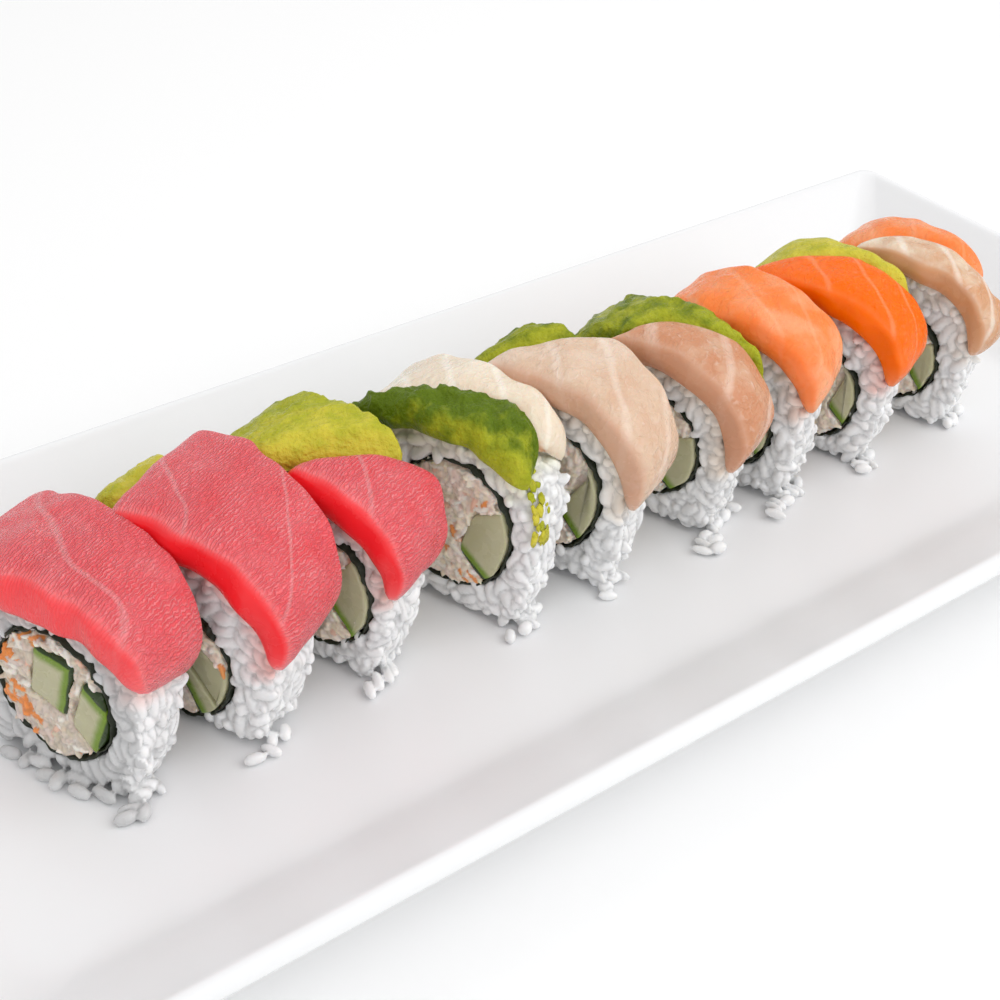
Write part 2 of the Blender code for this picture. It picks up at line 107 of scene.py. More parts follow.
# A stick's corners as across and up, and which of its sides are skin, counted from its first corner.
CUCUMBERS = (
    ("cucumber_1a", 0, ((2.2, 29.0), (-7.0, 27.4), (-4.2, 15.6), (4.3, 18.0)), (0, 1)),
    ("cucumber_1b", 0, ((-8.9, 24.9), (-15.0, 20.0), (-11.4, 9.3), (-5.3, 13.9)), (0, 1)),
    ("cucumber_2a", 1, ((-3.9, 15.6), (-4.1, 22.8), (-9.2, 18.7), (-13.4, 14.2), (-10.9, 6.9)), ()),
    ("cucumber_2b", 1, ((-2.9, 15.2), (-0.6, 13.2), (-7.0, 2.6), (-10.1, 6.4)), (1,)),
    ("cucumber_3", 2, ((-7.9, 17.3), (-10.4, 25.4), (-14.5, 29.2), (-19.0, 23.3), (-12.9, 11.4)), (4,)),
    ("cucumber_4", 3, ((-4.9, 16.0), (-8.0, 25.6), (-15.4, 28.2), (-17.0, 23.0), (-11.6, 10.9)), (4,)),
    ("cucumber_5", 4, ((-6.0, 17.4), (-11.4, 29.4), (-17.4, 29.4), (-17.0, 21.0), (-11.9, 11.4)), (4,)),
    ("cucumber_6", 5, ((-4.6, 12.7), (-6.8, 24.6), (-14.2, 25.8), (-14.0, 16.0), (-10.4, 8.4)), (4,)),
    ("cucumber_7", 6, ((-4.8, 15.4), (-6.6, 27.6), (-12.6, 27.4), (-12.6, 19.2), (-8.6, 11.6)), (4,)),
    ("cucumber_8", 7, ((-7.0, 14.6), (-8.6, 26.2), (-15.4, 26.2), (-15.0, 17.6), (-11.6, 10.6)), (4,)),
    ("cucumber_9", 8, ((-6.4, 13.6), (-7.8, 22.8), (-13.4, 22.8), (-13.0, 14.8), (-9.4, 9.6)), (4,)),
)

# Where a strip's ends lie, as the arc from the slice's top at its front and back, then its sides as pairs of
# arc and place along the axis, where -0.5 is the cut face towards the camera.
TOPPINGS = (
    ("tuna_1", 0, 7.0, (-32.0, -33.0), (27.0, 29.5), ((0.0, -0.53),),
     ((-20.0, 0.48), (0.0, 0.5), (14.0, 0.48), (29.0, 0.38))),
    ("avocado_2", 1, 4.8, (-33.0, -33.0), (-16.0, -18.5), ((-30.0, -0.3), (-16.0, -0.15)), ((0.0, 0.52),)),
    ("tuna_2", 1, 6.4, (-14.5, -17.0), (36.5, 33.0), ((0.0, -0.51),),
     ((-14.0, 0.55), (0.0, 0.62), (33.0, 0.5))),
    ("avocado_3", 2, 5.2, (-34.0, -32.0), (-4.5, 13.0), ((0.0, -0.48),), ((0.0, 0.55),)),
    ("tuna_3", 2, 6.2, (-3.3, 14.2), (34.0, 32.5), ((0.0, -0.54), (36.0, -0.52)),
     ((10.0, 0.55), (34.0, 0.4))),
    ("avocado_4", 3, 5.8, (-28.0, -27.0), (21.5, 19.0), ((0.0, -0.56),),
     ((-27.0, -0.45), (-15.0, -0.38), (-4.0, -0.2), (8.0, 0.05), (16.0, 0.0), (24.0, -0.1))),
    ("white_fish_4", 3, 4.4, (-31.0, -31.0), (18.0, 22.0),
     ((-27.0, -0.41), (-15.0, -0.34), (-4.0, -0.16), (8.0, 0.09), (16.0, 0.04), (24.0, -0.06)),
     ((0.0, 0.49),)),
    ("avocado_5", 4, 4.4, (-33.0, -32.0), (-20.5, -1.5), ((0.0, -0.44),), ((0.0, 0.52),)),
    ("pink_fish_5", 4, 5.2, (-19.2, -0.2), (35.5, 33.5), ((0.0, -0.51),), ((0.0, 0.54), (34.0, 0.46))),
    ("avocado_6", 5, 4.6, (-32.0, -32.0), (20.0, 24.0),
     ((-30.0, -0.5), (-8.0, -0.34), (-3.0, -0.02), (4.0, 0.13), (12.0, 0.33), (20.0, 0.35)), ((0.0, 0.5),)),
    ("pink_fish_6", 5, 5.0, (-13.0, -5.0), (36.5, 34.0), ((0.0, -0.54),),
     ((-10.0, -0.45), (-3.0, -0.06), (4.0, 0.09), (12.0, 0.29), (19.0, 0.31), (26.0, 0.42), (32.0, 0.36))),
    ("salmon_7", 6, 5.0, (-31.0, -32.0), (28.5, 26.0), ((0.0, -0.52),), ((0.0, 0.55), (28.0, 0.5))),
    ("avocado_8", 7, 4.4, (-30.0, -30.0), (14.0, 17.0),
     ((-26.0, -0.25), (-12.0, -0.05), (-4.0, 0.19), (3.0, 0.41), (14.0, 0.42)), ((0.0, 0.68),)),
    ("salmon_8", 7, 5.2, (-31.0, -15.0), (30.5, 30.0), ((0.0, -0.54),),
     ((-26.0, -0.29), (-12.0, -0.09), (-4.0, 0.15), (3.0, 0.37), (14.0, 0.38), (20.0, 0.5), (32.0, 0.44))),
    ("white_fish_9", 8, 4.6, (-16.0, -13.0), (31.0, 33.0), ((0.0, -0.55),),
     ((-14.0, -0.36), (-8.0, -0.2), (-2.0, 0.0), (6.0, 0.04), (18.5, 0.03), (23.5, 0.38), (36.0, 0.42))),
    ("salmon_9", 8, 4.4, (-31.0, -31.0), (15.0, 16.0),
     ((-30.0, -0.54), (-20.0, -0.5), (-14.0, -0.32), (-8.0, -0.16), (-2.0, 0.04), (6.0, 0.08), (14.0, 0.04)),
     ((0.0, 0.53),)),
)

# The second colour of each finish, which its noise mixes with the one in the settings.
CLEAR_RICE = (0.7, 0.69, 0.66, 1.0)
NORI_SHEEN = (0.03, 0.04, 0.018, 1.0)
CUCUMBER_PALE = (0.54, 0.52, 0.35, 1.0)
CUCUMBER_RIM = (0.17, 0.28, 0.012, 1.0)
CUCUMBER_SKIN = (0.02, 0.045, 0.004, 1.0)
GLAZE_PALE = (0.84, 0.845, 0.855, 1.0)

CAMERA_PLACE = (-0.14959, -0.19721, 0.21387)
CAMERA_HEADING = 0.97863
CAMERA_TILT = 0.66576
CAMERA_LENS = 50.4


# ---- shape helpers ----


def outline(half, high, grow=0.0, low=GAP):
    """A slice's outline as a dense closed loop of (across, up), from the foot's middle over the near side."""
    turn = np.linspace(-0.5 * np.pi, 1.5 * np.pi, 1441)[:-1]
    cos, sin = np.cos(turn), np.sin(turn)
    power = np.where(sin >= 0.0, TOP_POWER, BOTTOM_POWER)
    across = -(half + grow) * np.sign(cos) * np.abs(cos) ** (2.0 / power)
    reach = np.where(sin >= 0.0, high - WIDEST_AT + grow, BOTTOM_DROP)
    up = WIDEST_AT + reach * np.sign(sin) * np.abs(sin) ** (2.0 / power)
    return across, np.maximum(up, low)


def arc_of(across, up):
    """The length along a loop at each of its points, from its top and growing towards the near side."""
    arc = np.concatenate([[0.0], np.cumsum(np.hypot(np.diff(across), np.diff(up)))])
    return arc[np.argmax(up)] - arc


def even_loop(across, up, count):
    """A closed loop resampled to count points at even steps."""
    across, up = np.append(across, across[0]), np.append(up, up[0])
    arc = np.concatenate([[0.0], np.cumsum(np.hypot(np.diff(across), np.diff(up)))])
    at = np.linspace(0.0, arc[-1], count, endpoint=False)
    return np.interp(at, arc, across), np.interp(at, arc, up)


def placed(piece, across, up, along):
    """Points in metres of a slice's own across, up and along coordinates in millimetres."""
    yaw = math.radians(piece["yaw"])
    wide = piece["foot"] + (piece["thick"] - piece["foot"]) * up / piece["high"]
    wide = wide * (1.0 + NEAR_THIN * across / piece["half"])
    along = -0.5 * piece["foot"] + (along + 0.5 * piece["thick"]) * wide / piece["thick"]
    along = along + up * math.tan(math.radians(piece["lean"]))
    x = piece["x"] + math.cos(yaw) * along - math.sin(yaw) * across
    y = piece["y"] + math.sin(yaw) * along + math.cos(yaw) * across
    return np.stack(np.broadcast_arrays(x, y, FLOOR_TOP + up), axis=-1) * MM


def placed_points(piece, points):
    """The same for an array of points, whose last axis is across, up and along."""
    return placed(piece, *np.moveaxis(points, -1, 0))


def unplaced(piece, points):
    """A slice's own coordinates in millimetres of points in metres: the reverse of placed."""
    yaw = math.radians(piece["yaw"])
    x, y, up = points[:, 0] / MM - piece["x"], points[:, 1] / MM - piece["y"], points[:, 2] / MM - FLOOR_TOP
    across = math.cos(yaw) * y - math.sin(yaw) * x
    along = math.cos(yaw) * x + math.sin(yaw) * y - up * math.tan(math.radians(piece["lean"]))
    wide = piece["foot"] + (piece["thick"] - piece["foot"]) * up / piece["high"]
    wide = wide * (1.0 + NEAR_THIN * across / piece["half"])
    along = (along + 0.5 * piece["foot"]) * piece["thick"] / wide - 0.5 * piece["thick"]
    return np.stack([across, up, along], axis=-1)


def ring_radius(piece, number, turn):
    """The nori's wavy outer radius at each angle round its middle."""
    rng = np.random.default_rng(40 + number)
    wave = sum(
        NORI_WAVE / k * rng.uniform(0.5, 1.0) * np.cos(k * turn + rng.uniform(0.0, 2.0 * np.pi))
        for k in (2, 3, 5)
    )
    return piece["ring"][2] + wave


def waves(rng, points, size, amount, count=7):
    """Smooth seeded noise at the points: a sum of sine waves about size long, in random directions."""
    total = np.zeros(points.shape[:-1])
    for _ in range(count):
        way = rng.normal(size=3)
        way *= 2.0 * np.pi / (size * rng.uniform(0.7, 1.6) * np.linalg.norm(way))
        total += np.sin(points @ way + rng.uniform(0.0, 2.0 * np.pi))
    return total * amount / math.sqrt(count)


def lumps(points, size, seed):
    """Uneven soft lumps about size across at each point, from -1 to 1."""
    flat = points.reshape(-1, 3) / size + seed * 7.31
    found = [noise.fractal(Vector(p), 1.0, 2.0, 3) for p in flat.tolist()]
    return np.array(found).reshape(points.shape[:-1])


def sheet_mesh(points, wrap_rows, zones=None, uv=None):
    """A bmesh of a grid moved to the points, as rows by columns, whose last column joins its first.

    wrap_rows joins the last row to the first as well; otherwise the two ends are filled.
    """
    rows, columns = points.shape[:2]
    row_count = rows - 1 + int(wrap_rows)
    work = bmesh.new()
    bmesh.ops.create_grid(work, x_segments=columns, y_segments=row_count, size=1.0)
    zone_layer = work.verts.layers.float_color.new("zone") if zones is not None else None
    uv_layer = work.loops.layers.uv.new("strip") if uv is not None else None
    places = {}
    for vert in work.verts:
        column = round((vert.co.x + 1.0) * 0.5 * columns)
        row = round((vert.co.y + 1.0) * 0.5 * row_count)
        places[vert.index] = (row, column)
    if uv is not None:
        wide_uv = np.concatenate([uv, uv[:, :1]], axis=1)
        for face in work.faces:
            for loop in face.loops:
                row, column = places[loop.vert.index]
                loop[uv_layer].uv = wide_uv[row % rows, column]
    for vert in work.verts:
        row, column = places[vert.index]
        vert.co = points[row % rows, column % columns]
        if zones is not None:
            vert[zone_layer] = zones[row % rows, column % columns]
    bmesh.ops.remove_doubles(work, verts=work.verts, dist=1e-7)
    if not wrap_rows:
        bmesh.ops.holes_fill(work, edges=[edge for edge in work.edges if edge.is_boundary], sides=0)
    bmesh.ops.recalc_face_normals(work, faces=work.faces)
    return work


def finish_piece(name, mesh, material, node):
    """Links a mesh as a piece at the origin, smooth shaded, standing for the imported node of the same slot."""
    mesh.materials.clear()
    mesh.materials.append(material)
    mesh.shade_smooth()
    made = bpy.data.objects.new(name, mesh)
    bpy.context.scene.collection.objects.link(made)
    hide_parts(node)
    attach(made, "root")
    return made


def mesh_from(work, name):
    """A mesh of a bmesh, which is then freed."""
    mesh = bpy.data.meshes.new(name)
    work.to_mesh(mesh)
    work.free()
    return mesh


def joined_mesh(name, point_sets, face_sets):
    """One mesh of many sets of triangles, with their points in metres."""
    counts = np.cumsum([0] + [len(points) for points in point_sets])
    faces = np.concatenate([faces + start for faces, start in zip(face_sets, counts)])
    mesh = bpy.data.meshes.new(name)
    mesh.vertices.add(int(counts[-1]))
    mesh.vertices.foreach_set("co", np.concatenate(point_sets).astype(np.float32).ravel())
    mesh.loops.add(faces.size)
    mesh.loops.foreach_set("vertex_index", faces.astype(np.int32).ravel())
    mesh.polygons.add(len(faces))
    mesh.polygons.foreach_set("loop_start", np.arange(0, faces.size, 3, dtype=np.int32))
    mesh.update(calc_edges=True)
    return mesh


def colour_points(mesh, colours):
    """Keeps a colour at each of a mesh's points, where its material reads it."""
    layer = mesh.color_attributes.new("zone", "FLOAT_COLOR", "POINT")
    layer.data.foreach_set("color", np.asarray(colours, np.float32).ravel())


def fused(mesh, voxel):
    """A mesh of shapes that cross one another made into a single skin, and the places of its points."""
    holder = bpy.data.objects.new("fusing", mesh)
    bpy.context.scene.collection.objects.link(holder)
    remesh = holder.modifiers.new("fuse", "REMESH")
    remesh.mode = "VOXEL"
    remesh.voxel_size = voxel * MM
    thinned = holder.modifiers.new("thin", "DECIMATE")
    thinned.ratio = FUSED_SHARE
    skin = bpy.data.meshes.new_from_object(holder.evaluated_get(bpy.context.evaluated_depsgraph_get()))
    bpy.data.objects.remove(holder)
    skin.name = mesh.name
    bpy.data.meshes.remove(mesh)
    points = np.empty(len(skin.vertices) * 3, np.float32)
    skin.vertices.foreach_get("co", points)
    return skin, points.reshape(-1, 3).astype(float)


def nearest_shapes(places, kept, reach, apart):
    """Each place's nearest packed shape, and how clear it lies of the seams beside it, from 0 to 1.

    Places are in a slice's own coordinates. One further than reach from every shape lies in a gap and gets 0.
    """
    tree = kdtree.KDTree(len(CHAIN_SHARES) * len(kept))
    for at, (middle, way, _, (long, _)) in enumerate(kept):
        for share in CHAIN_SHARES:
            tree.insert(middle + share * long * way, at)
    tree.balance()
    owners = np.empty(len(places), int)
    clear = np.ones(len(places))
    for i, place in enumerate(places.tolist()):
        found = tree.find_n(place, 7)
        owners[i] = found[0][1]
        near = found[0][2]
        other = next((distance for _, at, distance in found if at != owners[i]), near + apart)
        clear[i] = min((other - near) / apart, 1.0) if near < reach else 0.0
    return owners, clear


def crease(mesh, places, clear, depth):
    """Sinks the seams between shapes, which fusing has partly filled."""
    normals = np.empty(len(places) * 3, np.float32)
    mesh.vertices.foreach_get("normal", normals)
    places = places - normals.reshape(-1, 3) * ((1.0 - clear) * depth * MM)[:, None]
    mesh.vertices.foreach_set("co", places.astype(np.float32).ravel())
    mesh.update()


def triangles_in(work):
    """The points and triangles of a bmesh, which is then freed."""
    bmesh.ops.triangulate(work, faces=work.faces)
    work.verts.index_update()
    points = np.array([vert.co for vert in work.verts])
    faces = np.array([[vert.index for vert in face.verts] for face in work.faces])
    work.free()
    return points, faces


# ---- packing grains and shreds ----


class Room:
    """How deep a point lies inside one slice's rice or filling, in the slice's own coordinates."""

    STEP = 0.5
    LOW_ACROSS = -32.0
    LOW_UP = -4.0
    EDGE_ROUND = 3.6

    def __init__(self, piece, number):
        self.piece = piece
        self.number = number
        self.half_thick = 0.5 * piece["thick"]
        across = np.arange(self.LOW_ACROSS, 32.0, self.STEP)
        up = np.arange(self.LOW_UP, 52.0, self.STEP)
        grid_a, grid_u = np.meshgrid(across, up, indexing="ij")
        edge_a, edge_u = even_loop(*outline(piece["half"], piece["high"]), 300)
        far = np.hypot(grid_a[..., None] - edge_a, grid_u[..., None] - edge_u).min(axis=-1)
        power = np.where(grid_u >= WIDEST_AT, TOP_POWER, BOTTOM_POWER)
        reach = np.where(grid_u >= WIDEST_AT, piece["high"] - WIDEST_AT, BOTTOM_DROP)
        level = np.abs(grid_a / piece["half"]) ** power + np.abs((grid_u - WIDEST_AT) / reach) ** power
        self.depth = np.where((level < 1.0) & (grid_u > GAP), far, -far)

    def from_outline(self, across, up):
        """The depth below the slice's outline."""
        i = np.clip((across - self.LOW_ACROSS) / self.STEP, 0, self.depth.shape[0] - 1.001)
        j = np.clip((up - self.LOW_UP) / self.STEP, 0, self.depth.shape[1] - 1.001)
        i0, j0 = i.astype(int), j.astype(int)
        s, t = i - i0, j - j0
        grid = self.depth
        return (
            grid[i0, j0] * (1 - s) * (1 - t) + grid[i0 + 1, j0] * s * (1 - t)
            + grid[i0, j0 + 1] * (1 - s) * t + grid[i0 + 1, j0 + 1] * s * t
        )

    def from_ring(self, across, up):
        """The distance out from the nori's outer side."""
        ring_a, ring_u, _ = self.piece["ring"]
        turn = np.arctan2(up - ring_u, across - ring_a)
        return np.hypot(across - ring_a, up - ring_u) - ring_radius(self.piece, self.number, turn)

    def from_surface(self, points):
        """The depth below a surface whose edges between the sides and the cut faces are rounded over."""
        side = self.from_outline(points[..., 0], points[..., 1])
        face = self.half_thick - np.abs(points[..., 2])
        short_side, short_face = self.EDGE_ROUND - side, self.EDGE_ROUND - face
        rounded = self.EDGE_ROUND - np.hypot(short_side, short_face)
        return np.where((short_side > 0.0) & (short_face > 0.0), rounded, np.minimum(side, face))

    def inward(self, points):
        """The way straight in from the surface at each point."""
        reach = 0.4 * np.eye(3)
        slope = [self.from_surface(points + step) - self.from_surface(points - step) for step in reach]
        slope = np.stack(slope, axis=-1)
        return slope / np.maximum(np.linalg.norm(slope, axis=-1), 1e-6)[..., None]

    def sunk(self, points, depth):
        """The points moved straight in or out until they lie at this depth."""
        for _ in range(3):
            points = points + self.inward(points) * (depth - self.from_surface(points))[..., None]
        return points

    def rice(self, points):
        """The depth inside the rice, which lies between the slice's surface and its nori."""
        return np.minimum(self.from_surface(points), self.from_ring(points[..., 0], points[..., 1]) + 0.2)


def pack(rng, sites, normals, room, half_long, half_wide, placed_before, crowd, tilt=0.25, ways=8, grain=0.0):
    """Chooses which sites take a grain and how each lies, so that grains touch but hardly cross.

    sites and normals are in a slice's own coordinates, and grain is a way that they tend to lie along.
    Returns the middles, long axes, normals and sizes.
    """
    reach = np.array([-0.64, 0.0, 0.64])
    most = len(sites) + len(placed_before)
    middles, chains, widths = np.empty((most, 3)), np.empty((most, 3, 3)), np.empty(most)
    used = 0
    for middle, way, size in placed_before:
        middles[used] = middle
        chains[used] = middle + reach[:, None] * size[0] * way
        widths[used] = size[1]
        used += 1
    kept = []
    for site, normal in zip(sites, normals):
        long = half_long * rng.uniform(0.86, 1.12)
        wide = half_wide * rng.uniform(0.9, 1.1)
        tries = rng.normal(size=(ways, 3)) + grain
        tries -= (tries @ normal)[:, None] * normal * rng.uniform(1.0 - tilt, 1.0, ways)[:, None]
        tries /= np.linalg.norm(tries, axis=1)[:, None]
        chain = site + reach[None, :, None] * long * tries[:, None, :]
        over = np.clip(0.8 * wide - room(chain), 0.0, None).sum(axis=1) * 1.4
        near = np.linalg.norm(middles[:used] - site, axis=1) < 2.0 * half_long + 0.6
        if near.any():
            gap = np.linalg.norm(chain[:, :, None, None, :] - chains[:used][near][None, None], axis=-1)
            clash = wide + widths[:used][near][None, None, :, None] - gap
            over += np.clip(clash, 0.0, None).sum(axis=(1, 2, 3))
        best = int(np.argmin(over))
        if over[best] > crowd * half_wide:
            continue
        middles[used] = site
        chains[used] = chain[best]
        widths[used] = wide
        used += 1
        kept.append((site, tries[best], normal, (long, wide)))
    return kept


def grain_shapes(work_size, bend, seed):
    """A few base shapes of a grain: a low ball, bent and a little flat, as points and triangles."""
    rng = np.random.default_rng(seed)
    shapes = []
    for _ in range(work_size):
        work = bmesh.new()
        bmesh.ops.create_icosphere(work, subdivisions=2, radius=1.0)
        points, faces = triangles_in(work)
        along = points[:, 0]
        blunt = 1.0 - 0.1 * rng.uniform(0.0, 1.0) * along
        points = points * np.stack([np.ones_like(along), blunt, blunt], axis=1)
        points[:, 0] = np.sign(along) * np.abs(along) ** 0.9
        points[:, 2] += bend * rng.uniform(-1.0, 1.0) * (along**2 - 0.4)
        shapes.append((points, faces))
    return shapes


def lay_shapes(piece, kept, shapes, rng, flatness=(0.85, 1.0)):
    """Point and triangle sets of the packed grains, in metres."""
    point_sets, face_sets = [], []
    for middle, way, normal, (long, wide) in kept:
        points, faces = shapes[rng.integers(len(shapes))]
        side = np.cross(normal, way)
        side /= np.linalg.norm(side)
        out = np.cross(way, side)
        local = middle + (
            points[:, :1] * long * way
            + points[:, 1:2] * wide * side
            + points[:, 2:] * wide * rng.uniform(*flatness) * out
        )
        point_sets.append(placed_points(piece, local))
        # A slice's own axes are left handed, so its triangles are turned round.
        face_sets.append(faces[:, ::-1])
    return point_sets, face_sets


# ---- materials ----


def new_group(name, inputs, outputs):
    """An empty shader node group, with its input and output nodes.

    inputs gives each value taken in its default, or None for a vector, and outputs names the values put out.
    """
    group = bpy.data.node_groups.new(name, "ShaderNodeTree")
    for socket, value in inputs.items():
        kind = "NodeSocketVector" if value is None else "NodeSocketFloat"
        made = group.interface.new_socket(name=socket, in_out="INPUT", socket_type=kind)
        if value is not None:
            made.default_value = value
    for socket in outputs:
        group.interface.new_socket(name=socket, in_out="OUTPUT", socket_type="NodeSocketFloat")
    return group, group.nodes.new("NodeGroupInput"), group.nodes.new("NodeGroupOutput")


def add_node(tree, kind, sockets=None, **settings):
    """A node with its settings, whose sockets are given values or links."""
    made = tree.nodes.new(kind)
    for setting, value in settings.items():
        setattr(made, setting, value)
    for socket, value in (sockets or {}).items():
        if isinstance(value, bpy.types.NodeSocket):
            tree.links.new(value, made.inputs[socket])
        else:
            made.inputs[socket].default_value = value
    return made


def colour_mix(tree, share, first, second):
    """The output of a mix of two colours."""
    made = add_node(tree, "ShaderNodeMix", {0: share, 6: first, 7: second}, data_type="RGBA")
    return made.outputs[2]


def spread(tree, value, low, high, out_low=0.0, out_high=1.0):
    """A value mapped smoothly from one range to another and held inside it."""
    made = add_node(
        tree, "ShaderNodeMapRange",
        {"Value": value, "From Min": low, "From Max": high, "To Min": out_low, "To Max": out_high},
        interpolation_type="SMOOTHSTEP",
    )
    return made.outputs["Result"]


def calculate(tree, operation, first, second=0.0):
    """The output of a sum of one or two values."""
    return add_node(tree, "ShaderNodeMath", {0: first, 1: second}, operation=operation).outputs[0]


def fibre_group():
    """Fine wavy fibres with pale flecks, and wider pale lines, over a strip's coordinates in centimetres."""
    name = "Flesh Fibres"
    if name in bpy.data.node_groups:
        return bpy.data.node_groups[name]
    inputs = {
        "Vector": None, "Fibre Scale": 9.0, "Stretch": 3.0, "Line Scale": 0.5, "Line Width": 0.06,
        "Line Bend": 4.0, "Ripple Scale": 5.2, "Ripples": 0.0,
    }
    group, given, made = new_group(name, inputs, ("Flecks", "Lines", "Height"))
    apart = add_node(group, "ShaderNodeSeparateXYZ", {0: given.outputs["Vector"]})
    narrow = calculate(group, "MULTIPLY", apart.outputs["Y"], given.outputs["Stretch"])
    stretched = add_node(
        group, "ShaderNodeCombineXYZ", {"X": apart.outputs["X"], "Y": narrow, "Z": apart.outputs["Z"]},
    )
    fibres = add_node(
        group, "ShaderNodeTexNoise",
        {
            "Vector": stretched.outputs[0], "Scale": given.outputs["Fibre Scale"],
            "Detail": 3.0, "Distortion": 0.9,
        },
    )
    patches = add_node(
        group, "ShaderNodeTexNoise", {"Vector": given.outputs["Vector"], "Scale": 1.6, "Detail": 2.0},
    )
    ripples = add_node(
        group, "ShaderNodeTexWave",
        {
            "Vector": given.outputs["Vector"], "Scale": given.outputs["Ripple Scale"],
            "Distortion": 7.0, "Detail": 3.0, "Detail Scale": 1.6, "Detail Roughness": 0.6,
        },
        bands_direction="X",
    )
    fleck = spread(group, fibres.outputs["Fac"], 0.54, 0.7)
    fine = spread(group, ripples.outputs["Fac"], 0.6, 0.95)
    flecks = add_node(group, "ShaderNodeMix", {0: given.outputs["Ripples"], 2: fleck, 3: fine}).outputs[0]
    shown = spread(group, patches.outputs["Fac"], 0.38, 0.62, 0.25, 1.0)
    lines = add_node(
        group, "ShaderNodeTexWave",
        {
            "Vector": given.outputs["Vector"], "Scale": given.outputs["Line Scale"],
            "Distortion": given.outputs["Line Bend"], "Detail": 2.0, "Detail Scale": 0.6,
        },
        bands_direction="DIAGONAL",
    )
    top = calculate(group, "SUBTRACT", 1.0, given.outputs["Line Width"])
    sharp = add_node(
        group, "ShaderNodeMapRange",
        {"Value": lines.outputs["Fac"], "From Min": top, "From Max": 1.0, "To Min": 0.0, "To Max": 1.0},
    )
    group.links.new(calculate(group, "MULTIPLY", flecks, shown), made.inputs["Flecks"])
    group.links.new(sharp.outputs[0], made.inputs["Lines"])
    height = add_node(
        group, "ShaderNodeMix",
        {0: given.outputs["Ripples"], 2: fibres.outputs["Fac"], 3: ripples.outputs["Fac"]},
    )
    group.links.new(height.outputs[0], made.inputs["Height"])
    return group


def clouds(tree, scale, detail):
    """Soft noise over the object's own coordinates."""
    place = add_node(tree, "ShaderNodeTexCoord")
    sockets = {"Vector": place.outputs["Object"], "Scale": scale, "Detail": detail}
    return add_node(tree, "ShaderNodeTexNoise", sockets).outputs["Fac"]


def wet_group():
    """Patches of wetter and drier surface as a roughness."""
    name = "Wet Patches"
    if name in bpy.data.node_groups:
        return bpy.data.node_groups[name]
    group, given, made = new_group(name, {"Scale": 160.0, "Wet": 0.16, "Dry": 0.4}, ("Roughness", "Mask"))
    mask = spread(group, clouds(group, given.outputs["Scale"], 3.0), 0.35, 0.65)
    rough = add_node(
        group, "ShaderNodeMapRange",
        {"Value": mask, "To Min": given.outputs["Wet"], "To Max": given.outputs["Dry"]},
    )
    group.links.new(rough.outputs[0], made.inputs["Roughness"])
    group.links.new(mask, made.inputs["Mask"])
    return group


def new_material(name, subsurface=0.0, radius=(1.0, 0.4, 0.2), scale=0.002, coat=0.0, specular=0.5):
    """A material with its shader's plain values set, returned with its tree and shader."""
    material = bpy.data.materials.new(name)
    material.use_nodes = True
    shader = material.node_tree.nodes["Principled BSDF"]
    for socket, value in (
        ("Subsurface Weight", subsurface), ("Subsurface Radius", radius), ("Subsurface Scale", scale),
        ("Coat Weight", coat), ("Coat Roughness", 0.12), ("IOR", 1.42), ("Specular IOR Level", specular),
    ):
        shader.inputs[socket].default_value = value
    return material, material.node_tree, shader


def surface(tree, shader, colour, wetness, height, relief):
    """Links a colour, patches of wetness and a relief to the shader.

    wetness is the patches' scale and how rough they are where wet and where dry, and relief is in metres.
    """
    tree.links.new(colour, shader.inputs["Base Color"])
    patches = add_node(tree, "ShaderNodeGroup", node_tree=wet_group())
    for socket, value in zip(("Scale", "Wet", "Dry"), wetness):
        patches.inputs[socket].default_value = value
    tree.links.new(patches.outputs["Roughness"], shader.inputs["Roughness"])
    made = add_node(tree, "ShaderNodeBump", {"Height": height, "Distance": relief, "Strength": 1.0})
    tree.links.new(made.outputs["Normal"], shader.inputs["Normal"])


def rgb(colour):
    """The colour with a full alpha, as a shader's socket takes it."""
    return (*colour[:3], 1.0)


def zone_of(tree):
    """The values that a mesh keeps at each of its points."""
    return add_node(tree, "ShaderNodeAttribute", attribute_name="zone")


def rice_material(colours):
    """Cooked rice, a little clear in places, tinted by the values at its points, which include painted shade in
    its seams.
    """
    material, tree, shader = new_material("cooked_rice", 0.7, (1.0, 0.97, 0.92), 0.0006, 0.3)
    cloud = clouds(tree, 420.0, 2.0)
    clear = colour_mix(tree, spread(tree, cloud, 0.3, 0.7, 0.0, 0.12), rgb(colours.rice), CLEAR_RICE)
    tinted = add_node(
        tree, "ShaderNodeMix", {0: 1.0, 6: clear, 7: zone_of(tree).outputs["Color"]},
        data_type="RGBA", blend_type="MULTIPLY",
    )
    surface(tree, shader, tinted.outputs[2], (300.0, 0.2, 0.42), cloud, 0.00012)
    return material


def nori_material(colours):
    """Dark toasted seaweed with a faint sheen."""
    material, tree, shader = new_material("dark_nori")
    cloud = clouds(tree, 900.0, 4.0)
    shade = colour_mix(tree, cloud, rgb(colours.nori), NORI_SHEEN)
    surface(tree, shader, shade, (500.0, 0.25, 0.6), cloud, 0.0002)
    return material


def crab_material():
    """Wet crab shreds, coloured by the values at their points, with painted shade in their seams."""
    material, tree, shader = new_material("crab_shreds", 0.6, (1.0, 0.7, 0.5), 0.0009, 0.1)
    tint = zone_of(tree).outputs["Color"]
    surface(tree, shader, tint, (350.0, 0.2, 0.45), clouds(tree, 900.0, 2.0), 0.00015)
    return material


